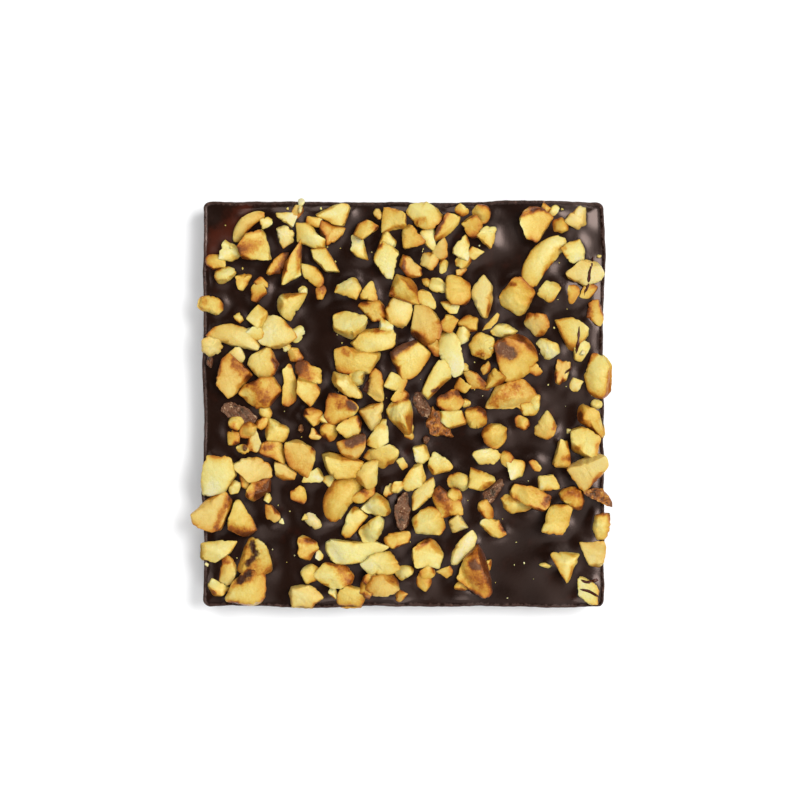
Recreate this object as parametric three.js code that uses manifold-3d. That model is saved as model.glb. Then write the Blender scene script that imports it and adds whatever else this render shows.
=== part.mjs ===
// A square bar of dark chocolate with chopped roasted hazelnuts set into its poured top.
// Millimetres, +Z up. The origin is the middle of the flat underside.
// The nuts are fused to the chocolate, so the bar is one solid.

import * as THREE from "three";
import { ConvexGeometry } from "three/addons/geometries/ConvexGeometry.js";
import { mergeVertices } from "three/addons/utils/BufferGeometryUtils.js";
import Module from "manifold-3d";

// The chocolate: cast in a tray with the nut side up, so the top is the widest
const WIDTH = 90; // along X, at the rim
const DEPTH = 91; // along Y, at the rim
const THICKNESS = 8.5; // underside to the poured top
const CORNER_RADIUS = 1.6; // of the rim's plan corners
const CORNER_STEPS = 4; // straight lengths round each corner
const LEAST_CORNER = 0.4; // the radius where the outline is furthest in
const WALL_DRAFT = 1; // the walls stand this much further in at the underside
const FOOT_CHAMFER = 0.8; // edge between the walls and the underside
const LIP_HEIGHT = 0.5; // the rim stands this much above the poured top
const LIP_WIDTH = 2.2; // from the wall in to the level of the top
const LIP_CREST = 0.5; // width of the rim's own narrow top

// The nut pieces: how each is shaped and how it sits
const HEIGHT_SHARE = [0.55, 0.8]; // height over breadth
const TALLEST = 4.6; // no piece is higher than this
const FLAKE_HEIGHT = 1.5; // a flake of skin is thin, however broad it is
const SUNK_SHARE = 0.42; // share of a piece's height that is under the chocolate
const CLIMB = 1.5; // how soon a piece climbs onto one that it overlaps
const BITE = 0.1; // a piece on another goes this far into it, as a share of the other's height
const CLIMB_LIMIT = 2; // highest that a piece's foot climbs above where it would sit
const TOP_TILT = 0.36; // steepest fall of a top face, as a share of the height
const TOP_SHIFT = 0.3; // furthest a top face lies off the middle, as a share of the outline

// How a piece was chopped: its corners in plan, where the first one is and how uneven they are, both as
// shares of their spacing, how many degrees of the outline each corner's blunt end takes, and its rings from
// foot to top, each as a share of the outline and a share of the height
const STEEP = [[1.14, 0], [0.7, 1]];
const ROUND = [[1.06, 0], [1, 0.4], [0.82, 0.75], [0.45, 1]];
const CUTS = {
  chunk: { corners: 6, start: 0.25, uneven: 0.9, blunt: 0, rings: STEEP },
  block: { corners: 4, start: 0.5, uneven: 0.5, blunt: 0, rings: STEEP },
  wedge: { corners: 3, start: 0, uneven: 0.25, blunt: 30, rings: STEEP },
  dome: { corners: 7, start: 0, uneven: 0.3, blunt: 0, rings: ROUND },
  flake: { corners: 7, start: 0, uneven: 0.9, blunt: 0, rings: STEEP },
};

// A slice is a bent length, hollow on its right, thickest in the middle
const SLICE_BEND = 75; // degrees from tip to tip
const SLICE_STEPS = 4;
const SLICE_TIP = 0.6; // breadth at a tip, as a share of the breadth in the middle
const SLICE_TOP = 0.6; // breadth at the top, as a share of the breadth at the waist
const SLICE_WAIST = 0.4; // height of the broadest level, as a share of the height

// The pieces of 5 mm and longer, each as x, y, length, breadth and the turn of its length in degrees.
// A wedge's turn is the way its point faces. Later pieces lie on earlier ones.
const PLACED = {
  slice: [[-35, 40, 8.5, 3, 45], [31.5, 32, 12.5, 5.5, 52], [-13.5, -21, 10.5, 6, 54]],
  chunk: [
    [-16, 38, 6.5, 5, -40], [-15, 42.5, 7.5, 4.5, 18], [-10.5, 35.5, 6.5, 4, 65], [5, 42.5, 9.5, 6, -15],
    [39, 42, 5.5, 5, 90], [-26.5, 38, 5.5, 4.5, 90], [-39, 34.5, 5, 5, 0], [-28.5, 31.5, 7, 3.5, 50],
    [1.5, 31, 6, 4.5, -45], [41, 29.5, 8, 6, -20], [18, 24.5, 10.5, 5.5, 85], [-12.5, 26, 5.5, 5, 0],
    [-43, 22.5, 6, 4.5, -22], [-24.5, 22, 7.5, 6.5, 20], [-28.5, 16.5, 9, 7.5, -25], [-43, 13.5, 5, 5, 0],
    [-7.5, 21, 6, 5, 0], [-1, 20.5, 7, 6.5, 45], [5, 18, 9, 7.5, -70], [-12, 18, 7.5, 6.5, 10],
    [43, 20, 6.5, 3.5, 90], [29.5, 17.5, 6, 6, 0], [-31.5, 9, 7, 7, 18], [-38.5, 6.5, 10, 7.5, 95],
    [-32, 2.5, 8, 7, 0], [-21.5, 7.5, 6.5, 4.5, -30], [-10.5, 9.5, 10.5, 6.5, 0], [1.5, 10, 9, 8.5, 60],
    [10.5, 12.5, 9, 4.5, -68], [25.5, 9.5, 10.5, 8.5, 70], [35.5, 7, 5.5, 4, 90], [24, 2, 11.5, 5.5, 14],
    [-14, -1, 7, 6.5, 70], [10.5, 0.5, 6.5, 5.5, 0], [11, -3.5, 6.5, 4.5, 0], [42, -4, 7.5, 6, 70],
    [40.5, -8.5, 7, 6.5, 10], [-5.5, -7, 6.5, 4.5, 80], [-12, -5.5, 6, 5.5, 0], [-34, -14.5, 9, 5.5, -20],
    [-29.5, -10.5, 6.5, 5.5, -30], [-23, -12, 8.5, 7, -70], [-11.5, -10, 7, 5.5, 20],
    [-12.5, -14, 8.5, 6, 0], [-8, -16, 6.5, 4.5, 60], [-4.5, -12, 8, 5.5, -10], [8, -13, 6, 5.5, 0],
    [2, -16.5, 6, 5.5, 90], [41, -15, 9, 8.5, 60], [18.5, -11.5, 6.5, 3.5, 0], [18, -17, 6.5, 5, 0],
    [-32.5, -19, 6, 4.5, 0], [-43, -24, 9, 8.5, 10], [5.5, -26.5, 7, 6.5, 20], [24.5, -22, 6.5, 4.5, 10],
    [-1.5, -30.5, 6.5, 4, 0], [-33.5, -34, 8.5, 5.5, 70], [-39.5, -37.5, 6, 4, 95], [-22, -32.5, 5, 5, 0],
    [-22, -43.5, 7.5, 5.5, 10], [-15.5, -38.5, 8.5, 7, -20], [-10.5, -33.5, 14, 5.5, -3],
    [-5, -36, 8, 6, 0], [5.5, -33.5, 7.5, 7, 30], [-4, -40.5, 8, 5.5, 5], [-11.5, -43.5, 6.5, 5, 0],
    [41.5, -42, 6.5, 5, 80],
  ],
  block: [
    [-21, 38, 8, 4.5, -32], [-8.5, 38.5, 6.5, 4, 35], [-2, 41.5, 5.5, 5.5, 0], [-18, 32.5, 7, 3.5, -48],
    [-20.5, 29, 7, 3.5, -38], [38, 34, 5.5, 5, 0], [12, 26, 6.5, 6, 90], [-38, 15, 10.5, 4, -24],
    [19.5, 18, 5.5, 2.5, 50], [-6.5, 14, 9.5, 4.5, 6], [18, 13, 6.5, 6, 0], [32.5, 12.5, 5.5, 5, 0],
    [-25.5, 4, 9.5, 3.5, 88], [-6.5, 3, 10, 3, 85], [7.5, 5.5, 9, 4.5, 52], [16.5, 5, 6.5, 3.5, -35],
    [-28, -6, 5.5, 5, 0], [-41.5, -16, 9, 7.5, 90], [-26.5, -15, 5.5, 3.5, 0], [4, -20, 8.5, 3.5, 52],
    [9.5, -22, 9.5, 4.5, -47], [-9, -20.5, 5.5, 2.5, 20], [-11, -26.5, 7.5, 5, 60],
    [28.5, -21.5, 10, 5, -30], [34.5, -26, 7, 6.5, -15], [20, -28, 6.5, 3.5, -25], [-41, -33, 7.5, 4, 20],
    [13.5, -32.5, 8.5, 4, 60],
  ],
  wedge: [
    [-34, 36, 6.5, 6.5, 80], [-26, 41.5, 5, 3.5, 270], [10, 40, 7.5, 4, 230], [30, 40, 7.5, 7.5, 262],
    [2, 37.5, 6, 6, 200], [-25.5, 31, 10, 4.5, 246], [-3.5, 32, 8.5, 6, 268], [13, 35, 6.5, 4.5, 90],
    [18.5, 37.5, 5, 5, 190], [38, 16, 7.5, 7, 265], [-21.5, 2.5, 6.5, 5.5, 100], [-7, -2, 6, 5.5, 60],
    [32, -5, 6.5, 5, 90], [36, -11, 6.5, 4, 90], [-36.5, -26, 8.5, 6.5, 105], [-35.5, -41.5, 9, 8, 185],
    [43, -33.5, 6, 5.5, 270], [36, -36.5, 7, 6.5, 268],
  ],
  dome: [
    [-40.5, 29.5, 5, 4, 0], [25.5, 24, 8, 7.5, 0], [0.5, 25.5, 7, 6.5, 40], [23, 16.5, 6.5, 3.5, -10],
    [-12.5, 4, 8.5, 4.5, -45], [43.5, 6.5, 10.5, 6.5, 90], [-1, -3, 8.5, 6.5, 100],
    [16.5, -2.5, 5.5, 5.5, 0], [20.5, -7.5, 5.5, 5.5, 0], [38, -21, 5.5, 5, 0], [-6, -22.5, 6.5, 4.5, 0],
    [-7, -28, 6.5, 5.5, 75], [44.5, -27.5, 6.5, 4, 90], [15.5, -37.5, 9.5, 6.5, -65],
  ],
  flake: [
    [-37, -2, 8.5, 4, -20], [4, 0, 9, 3, -55], [7.5, -4, 6, 4.5, 40], [20, -19.5, 6.5, 2.5, 55],
    [0, -23.5, 8.5, 3.5, 80], [43.5, -21, 7.5, 2.5, -35],
  ],
};

// The smaller pieces are scattered between those, largest first, off the patches that are bare
const SEED = 20261;
const GRADES = [
  { count: 40, length: [4.2, 5] },
  { count: 40, length: [3.2, 4.2] },
  { count: 24, length: [2.2, 3.2] },
];
const SLIMNESS = [0.65, 0.98]; // breadth over length
const SCATTER_CUTS = ["chunk", "chunk", "block", "wedge", "dome"];
const MARGIN = 0.4; // scattered pieces stop this far inside the rim
const CROWDING = 0.78; // nearest that two pieces come, as a share of touching
const CLEARANCE = 0.25; // how far a piece keeps out of a bare patch, as a share of its length
const MOST_TRIES = 6000; // for one grade

// Bare patches, each as x, y, half width and half depth
const BARE = [
  [-41.5, 40.5, 3.5, 4.5], [-30, 44.5, 7, 1.5], [-40, 25.5, 4.5, 2.5], [-19.5, 11.5, 3.5, 9.5],
  [-10.5, 31, 3.5, 2.5], [-43, -2, 2, 9.5], [24.5, 36, 3.5, 8.5], [43.5, 38.5, 2, 6], [37.5, 21.5, 4.5, 2],
  [34.5, 0, 4, 4.5], [11.5, -8, 5.5, 2], [28.5, -9.5, 5.5, 2], [-34.5, -22, 2, 2], [-27.5, -36.5, 4.5, 9.5],
  [-10, -38, 2, 2], [26, -35, 6.5, 10.5], [39, -29, 2.5, 4], [6.5, -43.5, 5, 2], [30.5, -42, 8.5, 3.5],
];

// The multiplier and modulus of the draws, and how close two corners are before they are one
const MULTIPLIER = 48271;
const MODULUS = 2147483647;
const WELD = 1e-4;

const { degToRad } = THREE.MathUtils;

const wasm = await Module();
wasm.setup();

// Draws between 0 and 1 that come out the same every time
function drawsFrom(seed) {
  let state = seed;
  return () => {
    state = (state * MULTIPLIER) % MODULUS;
    return state / MODULUS;
  };
}

const between = ([low, high], share) => low + (high - low) * share;

// A closed solid from a three.js geometry
function solidOf(geometry) {
  geometry.deleteAttribute("normal");
  geometry.deleteAttribute("uv");
  const merged = mergeVertices(geometry, WELD);
  return new wasm.Manifold(new wasm.Mesh({
    numProp: 3,
    vertProperties: new Float32Array(merged.attributes.position.array),
    triVerts: new Uint32Array(merged.index.array),
  }));
}

const hullOf = (points) => solidOf(new ConvexGeometry(points));

// One level of the slab: the rim's outline moved in by an inset
function slabRing(inset, z) {
  const radius = Math.max(CORNER_RADIUS - inset / 2, LEAST_CORNER);
  const points = [];
  for (let corner = 0; corner < 4; corner++) {
    const signX = corner === 0 || corner === 3 ? 1 : -1;
    const signY = corner < 2 ? 1 : -1;
    for (let step = 0; step <= CORNER_STEPS; step++) {
      const angle = (corner + step / CORNER_STEPS) * Math.PI / 2;
      points.push(new THREE.Vector3(
        signX * (WIDTH / 2 - inset - radius) + radius * Math.cos(angle),
        signY * (DEPTH / 2 - inset - radius) + radius * Math.sin(angle),
        z,
      ));
    }
  }
  return points;
}

// The cast block, with a shallow dish taken out of its top to leave the lip
function chocolate() {
  const rim = THICKNESS + LIP_HEIGHT;
  const block = hullOf([
    ...slabRing(WALL_DRAFT + FOOT_CHAMFER, 0),
    ...slabRing(WALL_DRAFT, FOOT_CHAMFER),
    ...slabRing(0, rim),
  ]);
  const dish = hullOf([...slabRing(LIP_WIDTH, THICKNESS), ...slabRing(LIP_CREST, rim)]);
  return block.subtract(dish);
}

// A piece stands in for its plan outline as a row of discs along its length
function discsOf({ x, y, length, breadth, turn }) {
  const count = Math.max(1, Math.round(length / breadth));
  const angle = degToRad(turn);
  const discs = [];
  for (let i = 0; i < count; i++) {
    const along = count > 1 ? (i / (count - 1) - 0.5) * (length - breadth) : 0;
    discs.push({ x: x + along * Math.cos(angle), y: y + along * Math.sin(angle), radius: breadth / 2 });
  }
  return discs;
}

// How far two pieces overlap in plan: 0 where they touch, 1 where their discs share a middle
function overlapOf(one, other) {
  let most = -Infinity;
  for (const a of one) {
    for (const b of other) {
      const gap = Math.sqrt((a.x - b.x) ** 2 + (a.y - b.y) ** 2);
      most = Math.max(most, 1 - gap / (a.radius + b.radius));
    }
  }
  return most;
}

function isBare(x, y, length) {
  return BARE.some(([middleX, middleY, halfWidth, halfDepth]) => {
    const across = (x - middleX) / (halfWidth + CLEARANCE * length);
    const along = (y - middleY) / (halfDepth + CLEARANCE * length);
    return across * across + along * along < 1;
  });
}

// Every piece in the order it is laid: the placed ones, then the scattered grades
function layOut(draw) {
  const pieces = [];
  for (const [cut, rows] of Object.entries(PLACED)) {
    for (const [x, y, length, breadth, turn] of rows) pieces.push({ cut, x, y, length, breadth, turn });
  }
  for (const piece of pieces) piece.discs = discsOf(piece);
  for (const grade of GRADES) scatter(pieces, grade, draw);
  return pieces;
}

function scatter(pieces, grade, draw) {
  let laid = 0;
  for (let tries = 0; laid < grade.count && tries < MOST_TRIES; tries++) {
    const length = between(grade.length, draw());
    const breadth = length * between(SLIMNESS, draw());
    const x = (draw() - 0.5) * (WIDTH - 2 * MARGIN - length);
    const y = (draw() - 0.5) * (DEPTH - 2 * MARGIN - length);
    const turn = 360 * draw();
    const cut = SCATTER_CUTS[Math.floor(SCATTER_CUTS.length * draw())];
    const piece = { cut, x, y, length, breadth, turn };
    piece.discs = discsOf(piece);
    if (isBare(x, y, length)) continue;
    if (pieces.some((other) => overlapOf(piece.discs, other.discs) > 1 - CROWDING)) continue;
    pieces.push(piece);
    laid++;
  }
}

// Sets a piece's height and the level of its foot: in the chocolate, or up on the pieces it overlaps
function settle(piece, earlier, draw) {
  const share = between(HEIGHT_SHARE, draw());
  piece.height = piece.cut === "flake" ? FLAKE_HEIGHT : Math.min(TALLEST, piece.breadth * share);
  const seat = THICKNESS - piece.height * SUNK_SHARE;
  piece.foot = seat;
  for (const other of earlier) {
    const overlap = overlapOf(piece.discs, other.discs);
    if (overlap <= 0) continue;
    const climbed = other.foot + other.height * Math.min(1 - BITE, overlap * CLIMB);
    piece.foot = Math.max(piece.foot, Math.min(climbed, seat + CLIMB_LIMIT));
  }
}

// The plan outline about the piece's own middle, with its length along X, brought to its full size
function outlineOf({ cut, length, breadth }, draw) {
  const { corners, start, uneven, blunt } = CUTS[cut];
  const points = [];
  for (let i = 0; i < corners; i++) {
    const angle = 360 * (i + start + uneven * (draw() - 0.5)) / corners;
    const ends = blunt > 0 ? [angle - blunt / 2, angle + blunt / 2] : [angle];
    for (const end of ends) points.push(new THREE.Vector2(Math.cos(degToRad(end)), Math.sin(degToRad(end))));
  }
  const box = new THREE.Box2().setFromPoints(points);
  const size = box.getSize(new THREE.Vector2());
  const middle = box.getCenter(new THREE.Vector2());
  return points.map(({ x, y }) => [(x - middle.x) / size.x * length, (y - middle.y) / size.y * breadth]);
}

// Turns a point of a piece from the piece's own axes to its place on the bar
function placed(piece, u, v, z) {
  const angle = degToRad(piece.turn);
  return new THREE.Vector3(
    piece.x + u * Math.cos(angle) - v * Math.sin(angle),
    piece.y + u * Math.sin(angle) + v * Math.cos(angle),
    piece.foot + z,
  );
}

// A chopped piece: its outline at each ring's size, with the top tilted and off the middle
function choppedPiece(piece, draw) {
  const tiltU = TOP_TILT * (draw() - 0.5);
  const tiltV = TOP_TILT * (draw() - 0.5);
  const shiftU = TOP_SHIFT * (draw() - 0.5) * piece.length;
  const shiftV = TOP_SHIFT * (draw() - 0.5) * piece.breadth;
  const outline = outlineOf(piece, draw);
  const points = [];
  for (const [size, level] of CUTS[piece.cut].rings) {
    for (const [u, v] of outline) {
      const fall = 2 * (tiltU * u / piece.length + tiltV * v / piece.breadth);
      points.push(placed(
        piece,
        u * size + shiftU * (1 - size),
        v * size + shiftV * (1 - size),
        piece.height * level * (1 + fall),
      ));
    }
  }
  return hullOf(points);
}

// The points of a slice's cross-section, some way along its arc from -1 at one tip to 1 at the other
function sliceStation(piece, along) {
  const half = degToRad(SLICE_BEND / 2);
  const radius = piece.length / 2 / Math.sin(half);
  const middle = radius * (1 + Math.cos(half)) / 2;
  const breadth = piece.breadth * (1 - (1 - SLICE_TIP) * along * along);
  const height = piece.height * (1 - (1 - SLICE_TIP) * along * along / 2);
  const points = [];
  for (const [size, level] of [[SLICE_TOP, 0], [1, SLICE_WAIST], [SLICE_TOP, 1]]) {
    for (const side of [-1, 1]) {
      const out = radius + side * size * breadth / 2;
      const u = out * Math.sin(half * along);
      const v = out * Math.cos(half * along) - middle;
      points.push(placed(piece, u, v, height * level));
    }
  }
  return points;
}

function slicePiece(piece) {
  const lengths = [];
  for (let step = 0; step < SLICE_STEPS; step++) {
    const from = 2 * step / SLICE_STEPS - 1;
    const to = 2 * (step + 1) / SLICE_STEPS - 1;
    lengths.push(hullOf([...sliceStation(piece, from), ...sliceStation(piece, to)]));
  }
  return wasm.Manifold.union(lengths);
}

// The chocolate and every nut piece in one body, with sealed hollows filled and loose scraps dropped
function bar() {
  const draw = drawsFrom(SEED);
  const pieces = layOut(draw);
  const solids = [chocolate()];
  pieces.forEach((piece, i) => {
    settle(piece, pieces.slice(0, i), draw);
    solids.push(piece.cut === "slice" ? slicePiece(piece) : choppedPiece(piece, draw));
  });
  const bodies = wasm.Manifold.union(solids).decompose();
  return bodies.reduce((largest, body) => (body.volume() > largest.volume() ? body : largest));
}

function geometryOf(solid) {
  const { vertProperties, triVerts } = solid.getMesh();
  const geometry = new THREE.BufferGeometry();
  geometry.setAttribute("position", new THREE.BufferAttribute(vertProperties, 3));
  geometry.setIndex(new THREE.BufferAttribute(triVerts, 1));
  geometry.computeVertexNormals();
  return geometry;
}

const darkChocolate = new THREE.MeshStandardMaterial({ color: 0x3a2218, roughness: 0.4, metalness: 0 });
const mesh = new THREE.Mesh(geometryOf(bar()), darkChocolate);
mesh.name = "hazelnut_bar";

const group = new THREE.Group();
group.add(mesh);

export default group;
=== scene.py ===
# A square bar of dark chocolate with chopped roasted hazelnuts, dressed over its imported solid.
# Sizes are in millimetres and meshes are made in metres, in the solid's own frame: +Z up from the middle of
# the flat underside, +X to the right and +Y to the top as seen from above.

import math
from types import SimpleNamespace

import bpy
import numpy as np
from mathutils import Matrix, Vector, kdtree

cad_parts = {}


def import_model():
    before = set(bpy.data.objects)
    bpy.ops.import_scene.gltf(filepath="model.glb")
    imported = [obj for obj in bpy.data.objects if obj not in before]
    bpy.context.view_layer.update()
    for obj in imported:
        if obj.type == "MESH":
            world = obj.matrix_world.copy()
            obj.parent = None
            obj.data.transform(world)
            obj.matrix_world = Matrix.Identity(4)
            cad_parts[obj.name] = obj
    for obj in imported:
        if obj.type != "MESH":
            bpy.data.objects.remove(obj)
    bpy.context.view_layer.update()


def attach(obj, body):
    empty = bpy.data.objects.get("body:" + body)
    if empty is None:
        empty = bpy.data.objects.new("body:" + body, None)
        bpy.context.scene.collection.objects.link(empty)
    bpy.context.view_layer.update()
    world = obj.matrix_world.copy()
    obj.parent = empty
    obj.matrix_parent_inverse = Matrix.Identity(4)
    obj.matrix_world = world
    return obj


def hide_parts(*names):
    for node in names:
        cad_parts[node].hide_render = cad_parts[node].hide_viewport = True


MM = 0.001
BAR_NODE = "hazelnut_bar"

# The chocolate: cast in a tray with the nut side up, so the top is the widest
WIDTH = 90  # along X, at the rim
DEPTH = 91  # along Y, at the rim
THICKNESS = 8.5  # underside to the poured top
CORNER_RADIUS = 1.6  # of the rim's plan corners
WALL_DRAFT = 1  # the walls stand this much further in at the underside
FOOT_CHAMFER = 0.8  # edge between the walls and the underside
LIP_HEIGHT = 0.5  # the rim stands this much above the poured top
LIP_WIDTH = 2.2  # from the wall in to the level of the top
LIP_CREST = 0.5  # width of the rim's own narrow top

# The nut pieces: how each is shaped and how it sits
HEIGHT_SHARE = (0.55, 0.8)  # height over breadth
TALLEST = 4.6  # no piece is higher than this
FLAKE_HEIGHT = 1.5  # a flake of skin is thin, however broad it is
SUNK_SHARE = 0.42  # share of a piece's height that is under the chocolate
CLIMB = 1.5  # how soon a piece climbs onto one that it overlaps
BITE = 0.1  # a piece on another goes this far into it, as a share of the other's height
CLIMB_LIMIT = 2  # highest that a piece's foot climbs above where it would sit
TOP_TILT = 0.36  # steepest fall of a top face, as a share of the height
TOP_SHIFT = 0.3  # furthest a top face lies off the middle, as a share of the outline

# How a piece was chopped: its corners in plan, where the first one is and how uneven they are, both as
# shares of their spacing, how many degrees of the outline each corner's blunt end takes, and its rings from
# foot to top, each as a share of the outline and a share of the height
STEEP = ((1.14, 0), (0.7, 1))
ROUND = ((1.06, 0), (1, 0.4), (0.82, 0.75), (0.45, 1))
CUTS = {
    "chunk": {"corners": 6, "start": 0.25, "uneven": 0.9, "blunt": 0, "rings": STEEP},
    "block": {"corners": 4, "start": 0.5, "uneven": 0.5, "blunt": 0, "rings": STEEP},
    "wedge": {"corners": 3, "start": 0, "uneven": 0.25, "blunt": 30, "rings": STEEP},
    "dome": {"corners": 7, "start": 0, "uneven": 0.3, "blunt": 0, "rings": ROUND},
    "flake": {"corners": 7, "start": 0, "uneven": 0.9, "blunt": 0, "rings": STEEP},
}

# A slice is a bent length, hollow on its right, thickest in the middle
SLICE_BEND = 75  # degrees from tip to tip
SLICE_TIP = 0.6  # breadth at a tip, as a share of the breadth in the middle
SLICE_TOP = 0.6  # breadth at the top, as a share of the breadth at the waist
SLICE_WAIST = 0.4  # height of the broadest level, as a share of the height

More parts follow.
